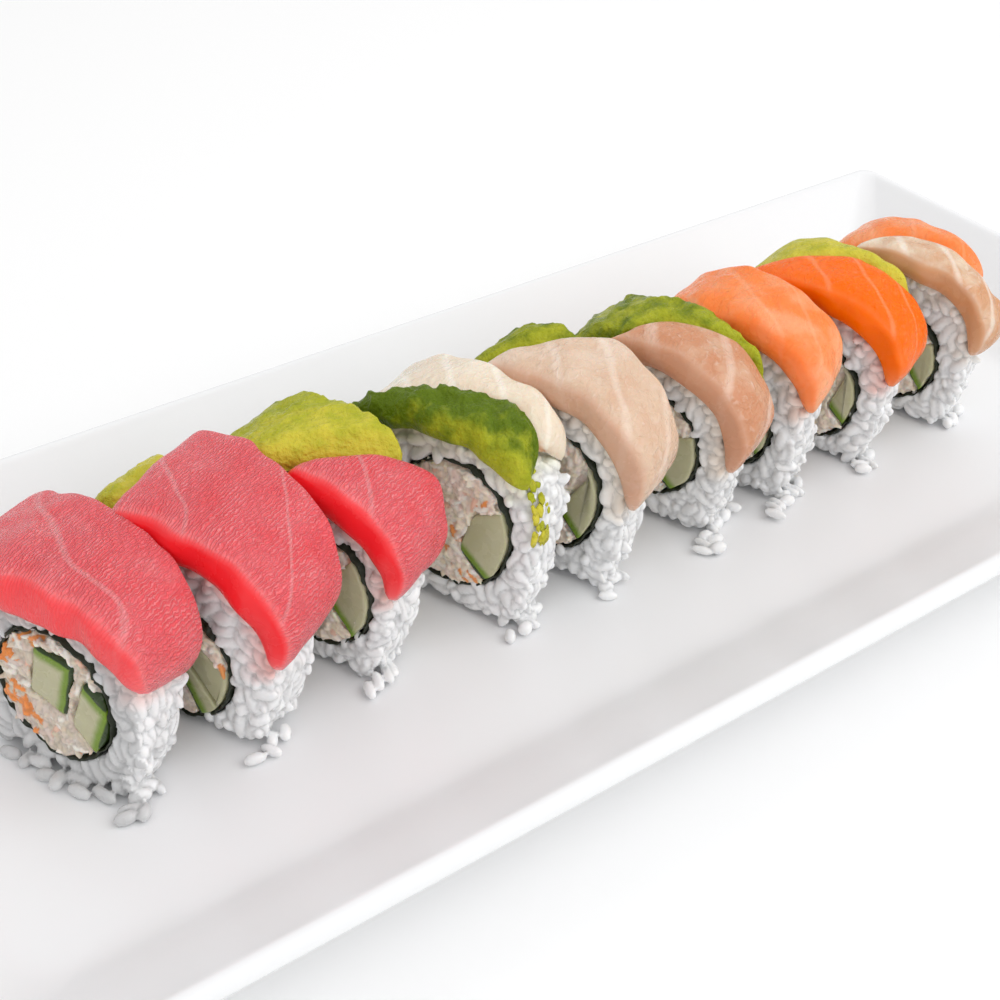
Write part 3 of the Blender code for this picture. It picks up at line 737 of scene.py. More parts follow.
def cucumber_material(colours):
    """Pale wet flesh that darkens to green skin. The stick's UV map holds centimetres from the skin."""
    material, tree, shader = new_material("cucumber_flesh", 0.4, (0.8, 1.0, 0.4), 0.002, 0.2)
    strip = add_node(tree, "ShaderNodeUVMap", uv_map="strip")
    apart = add_node(tree, "ShaderNodeSeparateXYZ", {0: strip.outputs["UV"]})
    nearest = calculate(tree, "MINIMUM", apart.outputs["X"], apart.outputs["Y"])
    cloud = clouds(tree, 260.0, 3.0)
    wobble = calculate(tree, "MULTIPLY_ADD", cloud, 0.08)
    wobble.node.inputs[2].default_value = -0.04
    depth = calculate(tree, "ADD", nearest, wobble)
    flesh = colour_mix(tree, cloud, rgb(colours.cucumber), CUCUMBER_PALE)
    green = colour_mix(tree, spread(tree, depth, 0.12, 0.3), CUCUMBER_RIM, flesh)
    skin = colour_mix(tree, spread(tree, depth, 0.04, 0.085), CUCUMBER_SKIN, green)
    surface(tree, shader, skin, (250.0, 0.14, 0.4), cloud, 0.0003)
    return material


def fish_material(name, flesh, look):
    """Wet raw fish: fine pale fibres and lines, deeper at its cut side, partly painted shade, with a painted
    highlight along that side's top edge, and paler where it is thin.
    """
    fair = (1.0, 0.25, 0.15) if look["red"] else (1.0, 0.6, 0.4)
    material, tree, shader = new_material(name, look["soft"], fair, 0.0022, 0.0, look["specular"])
    deep, pale = rgb(look["deep"]), rgb(look["pale"])
    zone = zone_of(tree)
    parts = add_node(tree, "ShaderNodeSeparateColor", {0: zone.outputs["Color"]})
    strip = add_node(tree, "ShaderNodeUVMap", uv_map="strip")
    grain = add_node(tree, "ShaderNodeGroup", node_tree=fibre_group())
    tree.links.new(strip.outputs["UV"], grain.inputs["Vector"])
    for socket, value in look["fibres"].items():
        grain.inputs[socket].default_value = value
    cloud = clouds(tree, 130.0, 3.0)
    drift = calculate(tree, "ADD", zone.outputs["Alpha"], spread(tree, cloud, 0.3, 0.7, -0.16, 0.16))
    colour = colour_mix(tree, spread(tree, drift, 0.0, 0.5, 0.6, 0.0), rgb(flesh), pale)
    colour = colour_mix(tree, spread(tree, drift, 0.5, 1.0), colour, deep)
    for mask, share in (("Flecks", look["flecks"]), ("Lines", look["lines"])):
        colour = colour_mix(tree, calculate(tree, "MULTIPLY", grain.outputs[mask], share), colour, pale)
    # The cut side's deeper colour: partly the cut flesh's own, partly painted shade.
    colour = colour_mix(tree, parts.outputs["Red"], colour, deep)
    # A painted highlight along the edge between the cut side and the top.
    rise = calculate(tree, "PINGPONG", parts.outputs["Red"], 0.5)
    colour = colour_mix(tree, calculate(tree, "MULTIPLY", rise, 2.0 * look["border"]), colour, pale)
    colour = colour_mix(tree, calculate(tree, "MULTIPLY", parts.outputs["Blue"], look["thin"]), colour, pale)
    height = add_node(tree, "ShaderNodeMix", {0: parts.outputs["Red"], 2: grain.outputs["Height"], 3: 0.5})
    surface(tree, shader, colour, (220.0, 0.14, 0.36), height.outputs[0], 0.0005)
    return material


def avocado_material(colours):
    """Soft flesh from green near the skin's side to pale yellow, with smeared patches."""
    material, tree, shader = new_material("avocado_flesh", 0.3, (0.9, 1.0, 0.3), 0.0015, 0.0, 0.2)
    parts = add_node(tree, "ShaderNodeSeparateColor", {0: zone_of(tree).outputs["Color"]})
    wobble = calculate(tree, "SUBTRACT", clouds(tree, 240.0, 4.0), 0.5)
    level = calculate(tree, "ADD", parts.outputs["Green"], wobble)
    middle = colour_mix(tree, spread(tree, level, 0.0, 0.5), rgb(colours.avocado_edge), rgb(colours.avocado))
    inner = colour_mix(tree, spread(tree, level, 0.45, 1.0), middle, rgb(colours.avocado_heart))
    surface(tree, shader, inner, (260.0, 0.24, 0.5), clouds(tree, 900.0, 3.0), 0.0008)
    return material


def plate_material(colours):
    """Smooth white glaze."""
    material, tree, shader = new_material("white_glaze")
    shader.inputs["IOR"].default_value = 1.4
    cloud = clouds(tree, 14.0, 2.0)
    glaze = colour_mix(tree, cloud, rgb(colours.plate), GLAZE_PALE)
    surface(tree, shader, glaze, (30.0, 0.23, 0.27), cloud, 0.0004)
    return material


# ---- settings ----


def colour_of(what, default):
    """The setting that holds the colour of one kind of food, or of the glaze."""
    return FloatVectorProperty(
        name=what.capitalize(), description="Colour of the " + what, size=3, subtype="COLOR",
        default=default, min=0.0, max=1.0,
    )


def millimetres(what, default, low, high):
    """The setting that holds a length in millimetres."""
    name = what.capitalize()
    return FloatProperty(name=name, description=name + " in millimetres", default=default, min=low, max=high)


class FoodColours(bpy.types.PropertyGroup):
    plate: colour_of("plate's glaze", (0.865, 0.87, 0.88))
    rice: colour_of("cooked rice", (0.93, 0.935, 0.94))
    nori: colour_of("nori", (0.008, 0.01, 0.006))
    crab: colour_of("crab shreds", (0.82, 0.71, 0.59))
    cucumber: colour_of("cucumber's flesh", (0.47, 0.45, 0.26))
    avocado: colour_of("avocado's flesh", (0.4, 0.42, 0.02))
    avocado_edge: colour_of("avocado beside its skin", (0.11, 0.17, 0.004))
    avocado_heart: colour_of("innermost avocado", (0.64, 0.56, 0.055))
    tuna: colour_of("tuna", (0.95, 0.128, 0.15))
    salmon: colour_of("salmon", (0.92, 0.23, 0.05))
    white_fish: colour_of("white fish", (0.8, 0.68, 0.53))
    pink_fish: colour_of("pale pink fish", (0.7, 0.5, 0.36))


class RollSizes(bpy.types.PropertyGroup):
    grain_length: millimetres("grain length", 6.0, 3.0, 9.0)
    grain_width: millimetres("grain width", 2.9, 1.5, 4.5)
    shred_length: millimetres("shred length", 3.9, 2.0, 9.0)
    shred_width: millimetres("shred width", 1.25, 0.6, 3.0)
    grain_tries: IntProperty(
        name="Grain tries", description="How many places for a grain are tried in each slice",
        default=2800, min=200, max=9000,
    )
    shred_tries: IntProperty(
        name="Shred tries", description="How many places for a shred are tried on each cut face",
        default=1500, min=100, max=4000,
    )


def settings():
    """The part's own settings in this scene."""
    return bpy.context.scene.rainbow_roll


# ---- pieces ----


def make_plate(colours):
    """The glazed plate: its profile taken round a rectangle with rounded corners."""
    rows = []
    for inset, height in PLATE_PROFILE:
        half_x, half_y = 0.5 * PLATE_LENGTH - inset, 0.5 * PLATE_WIDTH - inset
        radius = CORNER_RADIUS + CORNER_WIDENS * inset
        loop = []
        for quarter, (sx, sy) in enumerate(((1, 1), (-1, 1), (-1, -1), (1, -1))):
            for step in range(CORNER_STEPS + 1):
                turn = 0.5 * math.pi * (quarter + step / CORNER_STEPS)
                loop.append((
                    sx * (half_x - radius) + radius * math.cos(turn),
                    sy * (half_y - radius) + radius * math.sin(turn),
                    height,
                ))
        rows.append(loop)
    mesh = mesh_from(sheet_mesh(np.array(rows) * MM, wrap_rows=False), "plate_glazed")
    made = finish_piece("plate_glazed", mesh, plate_material(colours), "plate")
    smooth = made.modifiers.new("round", "SUBSURF")
    smooth.levels = 2
    smooth.render_levels = 2
    return made


def rice_core(piece, room):
    """The body of packed rice under the grains, as points and triangles in metres."""
    inset = CORE_INSET
    edge = outline(piece["half"] - inset, piece["high"] - inset, low=CORE_LOW)
    edge_a, edge_u = even_loop(*edge, CORE_COLUMNS)
    ring_a, ring_u, _ = piece["ring"]
    angle = np.arctan2(edge_u - ring_u, edge_a - ring_a)
    radius = ring_radius(piece, room.number, angle) + 0.25
    hole_a, hole_u = ring_a + radius * np.cos(angle), ring_u + radius * np.sin(angle)
    deep = room.half_thick - inset
    rows = []
    for sense in (-1.0, 1.0):
        face = [
            (hole_a + s * (edge_a - hole_a), hole_u + s * (edge_u - hole_u), sense * deep)
            for s in (0.0, 0.25, 0.5, 0.75, 0.9, 1.0)
        ]
        if sense > 0.0:
            face = [(edge_a, edge_u, a) for a in np.linspace(-deep, deep, 9)[1:-1]] + face[::-1]
        rows.extend(face)
    points = np.array([np.stack([a, u, np.full(CORE_COLUMNS, w)], axis=-1) for a, u, w in rows])
    shallow = np.clip(inset - room.from_surface(points), 0.0, None)
    points = points + room.inward(points) * shallow[..., None]
    rng = np.random.default_rng(300 + room.number)
    push = np.clip(waves(rng, points, 3.0, 0.35), -0.2, 0.8)
    toward = np.stack([ring_a - points[..., 0], ring_u - points[..., 1], 0.0 * points[..., 0]], axis=-1)
    toward /= np.linalg.norm(toward, axis=-1)[..., None]
    points = points + toward * push[..., None] * 0.8
    points[..., 1] = np.maximum(points[..., 1], 0.6)
    return triangles_in(sheet_mesh(placed_points(piece, points), wrap_rows=True))


def covered(number, arc, share):
    """How many millimetres inside a topping each place on a slice's outline lies, negative outside them."""
    best = np.full(np.shape(arc), -99.0)
    thick = SLICES[number - 1]["thick"]
    for _, index, _, far, near, front, back in TOPPINGS:
        if index != number - 1:
            continue
        front_at, back_at = np.interp(arc, *zip(*front)), np.interp(arc, *zip(*back))
        across = np.clip((share - front_at) / (back_at - front_at), 0.0, 1.0)
        low = far[0] + (far[1] - far[0]) * across
        high = near[0] + (near[1] - near[0]) * across
        lengthways = np.minimum(arc - low, high - arc)
        sideways = np.minimum(share - front_at, back_at - share) * thick
        best = np.maximum(best, np.minimum(lengthways, sideways))
    return best


# The colour that each slice's topping lends to the rice under it, and how deep it reaches.
TINTS = (
    (1.0, 0.76, 0.72), (0.97, 0.58, 0.54), (0.97, 0.66, 0.6), (0.97, 0.95, 0.78), (1.0, 0.88, 0.76),
    (1.0, 0.88, 0.76), (1.0, 0.78, 0.68), (0.97, 0.66, 0.6), (1.0, 0.95, 0.88),
)
TINT_DEPTH = 6.0

CORE_INSET = 1.5  # how deep the rice's core lies
CORE_LOW = 1.4
CORE_COLUMNS = 110
CROWD = 6.5  # how far a grain may cross all its neighbours together, in half widths
LOOSE_CROWD = 3.2  # the same for a loose grain
LOOSE_BELOW = 9.0  # grains under this height are near enough to hold a loose one off
FUSED_SHARE = 0.78  # how many of a fused skin's faces are kept, most where it bends
RICE_VOXEL = 0.43
RICE_CREASE = 0.2  # how far the seams between grains are sunk
CHAIN_SHARES = (-0.7, -0.35, 0.0, 0.35, 0.7)  # where along its half length a grain is measured from
FIRST_FACE_SHADE = 0.72  # painted shade that darkens the grains on the first slice's cut face
SEAM_SHADE_WIDTH = 0.55  # how wide the seam between two grains is, which is sunk and darkened with painted shade

# Loose grains beside the slices' feet on the near side: slice, place along it, distance out, how many.
LOOSE = (
    (0, -0.45, 1.2, 12), (1, -0.3, 0.8, 7), (2, -0.3, 0.8, 7), (3, -0.2, 0.8, 8), (4, -0.2, 0.8, 8),
    (5, -0.5, 1.6, 11), (5, 0.1, 0.8, 5), (6, -0.5, 1.2, 9), (6, 0.1, 0.8, 5), (7, -0.3, 0.9, 7),
    (8, 0.0, 0.8, 5),
)
FACE_LOOSE = {0: 24}  # how many lie at the foot of a slice's cut face


def above_plate(points):
    """How far points lie above the plate, where loose grains may be."""
    return points[..., 1] - 0.2


def near_topping(room, points, dense, arc):
    """How close each point lies under a topping, from 0 to 1, for the tint that its juice and light give."""
    middle = WIDEST_AT - 6.0
    turn = np.arctan2(-dense[0], dense[1] - middle)
    order = np.argsort(turn)
    at = np.interp(np.arctan2(-points[:, 0], points[:, 1] - middle), turn[order], arc[order])
    share = points[:, 2] / (2.0 * room.half_thick)
    inside = np.clip(0.85 + 0.25 * covered(room.number, at, np.clip(share, -0.49, 0.49)), 0.0, 1.0)
    return np.clip(1.2 - room.from_outline(points[:, 0], points[:, 1]) / TINT_DEPTH, 0.0, 1.0) * inside


def grain_sites(rng, piece, room, dense, arc, half_wide, tries):
    """Places for grains on a slice's open side and on both its cut faces, just under the surface."""
    length = abs(arc[-1] - arc[0])
    face_area = piece["half"] * 2 * piece["high"] * 0.86 - math.pi * piece["ring"][2] ** 2
    side_area = length * piece["thick"] * 0.75
    side_count = int(tries * side_area / (side_area + 2.0 * face_area))
    at = rng.uniform(arc.min(), arc.max(), side_count)
    order = np.argsort(arc)
    edge_a, edge_u = (np.interp(at, arc[order], side[order]) for side in dense)
    along = rng.uniform(-room.half_thick, room.half_thick, side_count)
    open_side = (covered(room.number, at, along / piece["thick"]) < 2.6) & (edge_u > 1.0)
    sides = np.stack([edge_a * 0.97, edge_u * 0.97 + 0.6, along], axis=-1)[open_side]
    face_count = int((tries - side_count) * 1.3)
    faces = np.stack([
        rng.uniform(-piece["half"], piece["half"], face_count),
        rng.uniform(0.5, piece["high"], face_count),
        (room.half_thick - half_wide) * rng.choice([-1.0, 1.0], face_count),
    ], axis=-1)
    flat = faces[:, 0], faces[:, 1]
    fits = (room.from_outline(*flat) > 1.1) & (room.from_ring(*flat) > 1.0)
    sites = np.concatenate([sides, faces[fits]])
    return room.sunk(sites, half_wide * rng.uniform(0.8, 1.15, len(sites)))


def add_loose(rng, kept, count, half_long, half_wide, spots):
    """Lays up to count grains flat on the plate at the first of these spots where they fit."""
    before = [(middle, way, size) for middle, way, _, size in kept if middle[1] < LOOSE_BELOW]
    upright = np.tile([0.0, 1.0, 0.0], (len(spots), 1))
    found = pack(rng, spots, upright, above_plate, half_long, half_wide, before, LOOSE_CROWD, tilt=0.05)
    kept.extend(found[:count])


def loose_grains(rng, kept, index, piece, half_long, half_wide):
    """Adds the loose grains at a slice's foot, along its near side and along its cut face."""
    for at_slice, share, out, count in LOOSE:
        if at_slice != index:
            continue
        spots = np.stack([
            -0.86 * piece["half"] - np.abs(rng.normal(0.0, out, count * 4)),
            np.abs(rng.normal(half_wide, 0.3, count * 4)),
            share * piece["thick"] + rng.normal(0.0, 3.4, count * 4),
        ], axis=-1)
        add_loose(rng, kept, count, half_long, half_wide, spots)
    count = FACE_LOOSE.get(index, 0)
    if count:
        spots = np.stack([
            rng.uniform(-0.8 * piece["half"], 0.8 * piece["half"], count * 4),
            np.abs(rng.normal(half_wide, 0.4, count * 4)),
            -0.5 * piece["thick"] - np.abs(rng.normal(0.0, 1.5, count * 4)),
        ], axis=-1)
        add_loose(rng, kept, count, half_long, half_wide, spots)


def make_rice(colours, sizes):
    """Each slice's rice as real grains packed over its own core."""
    material = rice_material(colours)
    shapes = grain_shapes(6, 0.16, 11)
    half_long, half_wide = 0.5 * sizes.grain_length, 0.5 * sizes.grain_width
    for index, piece in enumerate(SLICES):
        number = index + 1
        rng = np.random.default_rng(500 + number)
        room = Room(piece, number)
        dense = outline(piece["half"], piece["high"])
        arc = arc_of(*dense)
        sites = grain_sites(rng, piece, room, dense, arc, half_wide, sizes.grain_tries)
        normals = -room.inward(sites)
        mixed = rng.permutation(len(sites))
        kept = pack(rng, sites[mixed], normals[mixed], room.rice, half_long, half_wide, [], CROWD)
        loose_grains(rng, kept, index, piece, half_long, half_wide)
        core_points, core_faces = rice_core(piece, room)
        points, triangles = lay_shapes(piece, kept, shapes, rng)
        mesh = joined_mesh(f"rice_grains_{number}", [*points, core_points], [*triangles, core_faces])
        mesh, places = fused(mesh, RICE_VOXEL)
        local = unplaced(piece, places)
        owners, clear = nearest_shapes(local, kept, 1.3 * half_wide, SEAM_SHADE_WIDTH)
        crease(mesh, places, clear, RICE_CREASE)
        amount = near_topping(room, local, dense, arc)[:, None]
        tint = 1.0 - amount * (1.0 - np.array(TINTS[index]))
        # Each grain's own tone, darkened with painted shade in the seams and gaps between grains.
        shade = rng.uniform(0.88, 1.0, len(kept))[owners] * (0.74 + 0.26 * clear)
        # Painted shade on the first slice's cut face.
        if index == 0:
            shade = shade * np.where(local[:, 2] < 1.5 - room.half_thick, FIRST_FACE_SHADE, 1.0)
        tint = tint * shade[:, None]
        colour_points(mesh, np.concatenate([tint, np.ones((len(tint), 1))], axis=1))
        finish_piece(f"rice_grains_{number}", mesh, material, f"rice_{number}")


NORI_COLUMNS = 150


def ripple(rng, turn, low, high, counts):
    """A seeded sum of waves round a circle, with these numbers of crests."""
    return sum(rng.uniform(low, high) * np.cos(k * turn + rng.uniform(0, 6.28)) for k in counts)


def make_nori(colours):
    """The wrinkled ring of nori between the rice and the filling."""
    material = nori_material(colours)
    turn = np.linspace(0.0, 2.0 * np.pi, NORI_COLUMNS, endpoint=False)
    for index, piece in enumerate(SLICES):
        number = index + 1
        rng = np.random.default_rng(700 + number)
        ring_a, ring_u, _ = piece["ring"]
        outer = ring_radius(piece, number, turn)
        wrinkle = ripple(rng, turn, 0.05, 0.16, (9, 14, 23, 37))
        ends = [ripple(rng, turn, 0.05, 0.2, (5, 11, 19, 31)) for _ in range(2)]
        thick = 0.42 + 0.14 * np.cos(3 * turn + rng.uniform(0, 6.28))
        thick = thick + 0.1 * np.cos(13 * turn + rng.uniform(0, 6.28))
        half = 0.5 * piece["thick"]
        rows = []
        for inward, sense in ((1, -1), (0.5, -1), (0, -1), (0, 1), (0.5, 1), (1, 1)):
            r = outer - 0.1 + wrinkle - inward * thick
            end = ends[0 if sense < 0 else 1]
            along = sense * (half - 0.45 + end - (0.0 if inward == 0.5 else 0.12))
            rows.append(np.stack([ring_a + r * np.cos(turn), ring_u + r * np.sin(turn), along], axis=-1))
        points = np.array(rows)
        mesh = mesh_from(sheet_mesh(placed_points(piece, points), wrap_rows=True), f"nori_ring_{number}")
        finish_piece(f"nori_ring_{number}", mesh, material, f"nori_{number}")


def clipped_stick(piece, number, corners, inset=0.0):
    """A stick's outline as a dense closed loop, held inside the nori."""
    corners = np.array(corners)
    ring = np.array(piece["ring"][:2])
    from_ring = np.hypot(*(corners - ring).T)
    radius = piece["ring"][2]
    reach_out = np.where(from_ring > NEAR_NORI * radius, PAST_NORI * radius / from_ring, 1.0)
    corners = ring + (corners - ring) * reach_out[:, None]
    loop = []
    for first, second in zip(corners, np.roll(corners, -1, axis=0)):
        loop.extend(first + (second - first) * t for t in np.linspace(0.0, 1.0, 12, endpoint=False))
    loop = np.array(loop)
    for _ in range(2):
        loop = 0.5 * loop + 0.25 * (np.roll(loop, 1, axis=0) + np.roll(loop, -1, axis=0))
    away = loop - ring
    reach = np.hypot(*away.T)
    limit = ring_radius(piece, number, np.arctan2(away[:, 1], away[:, 0])) - NORI_THICK - 0.1
    loop = ring + away * np.minimum(1.0, limit / reach)[:, None]
    if inset:
        middle = loop.mean(axis=0)
        out = loop - middle
        loop = middle + out * (1.0 - inset / np.hypot(*out.T))[:, None]
    return loop


# The loops along a stick: how far each is drawn in, at which end it is and how far past it.
STICK_LOOPS = (
    (0.9, -1, 0.1), (0.3, -1, 0.0), (0.0, -1, -0.4), (0.0, 0, 0.0),
    (0.0, 1, -0.4), (0.3, 1, 0.0), (0.9, 1, 0.1),
)


def skin_depths(points, corners, skins):
    """How many centimetres under each of a stick's skinned sides a point lies, or 1 without skin."""
    if not skins:
        return np.ones((*points.shape[:2], 2))
    flat = np.array(corners)
    depths = []
    for side in (skins + skins)[:2]:
        start, end = flat[side], flat[(side + 1) % len(flat)]
        normal = np.array([end[1] - start[1], start[0] - end[0]])
        normal = normal / np.hypot(*normal)
        if normal @ (flat.mean(axis=0) - start) < 0.0:
            normal = -normal
        depths.append((points[..., :2] - start) @ normal * 0.1)
    return np.stack(depths, axis=-1)


def make_cucumber(colours):
    """The cucumber sticks: wet flesh with dark skin on the sides that have it."""
    material = cucumber_material(colours)
    for name, index, corners, skins in CUCUMBERS:
        piece = SLICES[index]
        rng = np.random.default_rng(800 + sum(map(ord, name)))
        half = 0.5 * piece["thick"]
        rows = []
        for inset, end, past in STICK_LOOPS:
            loop = clipped_stick(piece, index + 1, corners, inset)
            rows.append(np.stack([loop[:, 0], loop[:, 1], np.full(len(loop), end * (half + past))], axis=-1))
        points = np.array(rows)
        points = points + waves(rng, points, 5.0, 0.12)[..., None]
        uv = skin_depths(points, corners, skins)
        work = sheet_mesh(placed_points(piece, points), wrap_rows=False, uv=uv)
        layer = work.loops.layers.uv["strip"]
        for face in work.faces:
            if len(face.verts) > 4:
                for loop in face.loops:
                    side = next(l for l in loop.vert.link_loops if l.face is not face)
                    loop[layer].uv = side[layer].uv
        finish_piece(f"stick_{name}", mesh_from(work, f"stick_{name}"), material, name)


SHRED_WAY = np.array([0.8, 0.8, 0.0])  # the shreds tend to lie this way
SHRED_DEEP = 1.6  # how far under the cut faces shreds start
SHRED_CROWD = 8.0  # how far a shred may cross all its neighbours together, in half widths
CRAB_VOXEL = 0.44
CRAB_CREASE = 0.15  # how far the seams between shreds are sunk
CRAB_CORE_COLUMNS = 48
CRAB_FIRST_SHADE, CRAB_OTHERS_LIGHT = 0.84, 1.1  # painted shade on the first slice's filling, painted light on the others'
# The odd shreds: one is of a kind where its draw is below this and not below the one before.
ODD_SHREDS = ((0.02, (0.85, 0.33, 0.1)), (0.06, (0.85, 0.55, 0.42)), (0.2, (0.87, 0.81, 0.73)))
ORANGE = (0.87, 0.3, 0.07)
# Orange bits on the first slice's cut face: across, up and half length.
ORANGE_BITS = ((9.5, 24.5, 1.5), (8.4, 17.5, 1.3), (5.6, 13.8, 1.7), (4.4, 12.2, 1.2), (10.5, 15.2, 1.0))


def inside_polygon(across, up, corners, grow):
    """Which points lie inside a convex outline grown by this much."""
    corners = np.array(corners)
    middle = corners.mean(axis=0)
    inside = np.ones(np.shape(across), bool)
    for start, end in zip(corners, np.roll(corners, -1, axis=0)):
        normal = np.array([end[1] - start[1], start[0] - end[0]])
        normal = normal / np.hypot(*normal)
        if normal @ (middle - start) > 0.0:
            normal = -normal
        inside &= (across - start[0]) * normal[0] + (up - start[1]) * normal[1] < grow
    return inside


def shred_tones(rng, kept, base, is_first):
    """Each shred's colour: crab, now and then paler or pinker, and orange at the orange bits."""
    tones = []
    for middle, _, _, _ in kept:
        draw = rng.random()
        tone = base * rng.uniform(0.92, 1.08)
        tone = tone * np.array([1.0, rng.uniform(0.96, 1.03), rng.uniform(0.94, 1.06)])
        tone = next((np.array(odd) for share, odd in ODD_SHREDS if draw < share), tone)
        if is_first and middle[2] < 0.0:
            far = min(math.hypot(middle[0] - a, middle[1] - u) - size for a, u, size in ORANGE_BITS)
            if far < 0.0:
                tone = np.array(ORANGE)
        tones.append((*np.clip(tone, 0.0, 1.0), 1.0))
    return np.array(tones)


def crab_core(piece, number, deep):
    """The filling's own core, which ends this far from the slice's middle, as points and triangles."""
    ring_a, ring_u, _ = piece["ring"]
    turn = np.linspace(0.0, 2.0 * np.pi, CRAB_CORE_COLUMNS, endpoint=False)
    reach = ring_radius(piece, number, turn) - NORI_THICK - 0.05
    rows = []
    for share, along in ((0.6, -deep), (1.0, -deep), (1.0, 0.0), (1.0, deep), (0.6, deep)):
        across, up = ring_a + reach * np.cos(turn) * share, ring_u + reach * np.sin(turn) * share
        rows.append(np.stack([across, up, np.full(CRAB_CORE_COLUMNS, along)], axis=-1))
    return triangles_in(sheet_mesh(placed_points(piece, np.array(rows)), wrap_rows=False))


def make_crab(colours, sizes):
    """The crab filling: shreds lying on both cut faces of a core."""
    material = crab_material()
    shapes = grain_shapes(5, 0.3, 12)
    half_long, half_wide = 0.5 * sizes.shred_length, 0.5 * sizes.shred_width
    for index, piece in enumerate(SLICES):
        number = index + 1
        rng = np.random.default_rng(900 + number)
        room = Room(piece, number)
        ring_a, ring_u, radius = piece["ring"]
        sticks = [corners for _, at, corners, _ in CUCUMBERS if at == index]
        count = sizes.shred_tries * 2
        sites = np.stack([
            rng.uniform(ring_a - radius, ring_a + radius, count),
            rng.uniform(ring_u - radius, ring_u + radius, count),
            (room.half_thick - rng.uniform(0.1, SHRED_DEEP, count)) * rng.choice([-1.0, 1.0], count),
        ], axis=-1)
        fits = room.from_ring(sites[:, 0], sites[:, 1]) < -NORI_THICK - 0.7
        for corners in sticks:
            fits &= ~inside_polygon(sites[:, 0], sites[:, 1], corners, 0.5)
        sites = sites[fits]
        normals = np.stack([0 * sites[:, 0], 0 * sites[:, 0], np.sign(sites[:, 2])], axis=-1)

        def filling(points):
            depth = -NORI_THICK - room.from_ring(points[..., 0], points[..., 1])
            for corners in sticks:
                crossing = inside_polygon(points[..., 0], points[..., 1], corners, 0.1)
                depth = np.where(crossing, -0.6, depth)
            return depth

        kept = pack(
            rng, sites, normals, filling, half_long, half_wide, [], SHRED_CROWD, tilt=0.5, grain=SHRED_WAY
        )
        # Painted shade on the first slice's filling, painted light on the other slices'.
        base = np.array(colours.crab[:]) * (CRAB_FIRST_SHADE if index == 0 else CRAB_OTHERS_LIGHT)
        tones = shred_tones(rng, kept, base, index == 0)
        core_points, core_faces = crab_core(piece, number, room.half_thick - SHRED_DEEP)
        points, triangles = lay_shapes(piece, kept, shapes, rng, (0.8, 1.0))
        mesh = joined_mesh(f"crab_shreds_{number}", [*points, core_points], [*triangles, core_faces])
        mesh, places = fused(mesh, CRAB_VOXEL)
        owners, clear = nearest_shapes(unplaced(piece, places), kept, 1.6 * half_wide, 0.5 * SEAM_SHADE_WIDTH)
        crease(mesh, places, clear, CRAB_CREASE)
        # Painted shade in the seams between shreds.
        shade = np.tile(0.8 + 0.2 * clear[:, None], (1, 3))
        colour_points(mesh, tones[owners] * np.append(shade, np.ones((len(clear), 1)), axis=1))
        finish_piece(f"crab_shreds_{number}", mesh, material, f"crab_{number}")


EDGE_SAMPLES = (0.0, 0.14, 0.5, 1.0, 1.7)
SIDE_SAMPLES = np.array([0.2, 0.5, 0.8])
SIDE_BULGE = np.array([0.1, 0.16, 0.1])
STATIONS = 56
ACROSS = 13

# Each kind of strip's form: how far its end tapers, how round its long edges and its corners are, how its
# middle stands up and its edges droop, its waves' size and height, and its lumps' height.
LOOK_PARTS = ("taper", "round", "corner", "crown", "droop", "wave", "wave_high", "lump_high")
LOOKS = {
    "tuna": (14.0, 0.8, 5.0, 0.5, 1.9, 9.0, 0.22, 0.0),
    "salmon": (12.0, 0.9, 5.0, 0.4, 1.5, 8.0, 0.25, 0.0),
    "white_fish": (10.0, 0.9, 4.0, 0.3, 1.2, 8.0, 0.22, 0.0),
    "pink_fish": (12.0, 0.9, 5.0, 0.5, 1.4, 8.0, 0.2, 0.0),
    "avocado": (7.0, 1.4, 3.5, 0.6, 0.8, 7.0, 0.25, 0.6),
}
EDGE_WAVE = 0.4
LUMP_SIZE = 2.6
LUMPIER = {"avocado_4": 2.1, "avocado_6": 1.3, "avocado_8": 0.15}

# How strongly a cut side's deeper colour shows, where not in full; it is partly the cut flesh's own colour and
# partly painted shade.
CUT_SIDE_DEPTH_AND_SHADE = {"tuna_1": 0.85, "salmon_7": 0.6, "salmon_9": 0.5, "pink_fish_5": 0.65, "pink_fish_6": 0.8}
# How ripe the avocado looks at its front and far end, and how that changes to its back and its near end.
AVOCADO_TONES = {
    # avocado_4's dark far end is partly painted shade.
    "avocado_2": (0.35, 0.1, 0.5), "avocado_3": (0.2, -0.1, 0.75), "avocado_4": (-0.4, -0.45, 0.8),
    "avocado_5": (0.3, -0.3, 0.3), "avocado_6": (0.2, -0.1, 0.3), "avocado_8": (0.65, -0.15, 0.4),
}
CUT_RIPE = {"avocado_4": 0.2}  # how much riper its cut side looks
# How far a strip's flesh goes from its own colour, at 0.5, towards its paler one at 0 or its deeper one at 1,
# and how that changes to its near end.
FISH_TONES = {
    "pink_fish_5": (0.42, 0.15), "pink_fish_6": (0.82, 0.2), "white_fish_4": (0.4, 0.1),
    "white_fish_9": (0.56, 0.42), "salmon_7": (0.6, -0.45), "salmon_8": (0.95, 0.05), "salmon_9": (0.2, 0.3),
}
# Crumbs of a strip lying on the rice: arcs from the top, places along the slice, how many and their sizes.
CRUMBS = {
    "avocado_4": ((18.0, 35.0), (-0.52, -0.12), 34, (0.5, 1.7)),
    "avocado_6": ((-14.0, 2.0), (-0.54, -0.4), 8, (0.4, 1.1)),
}


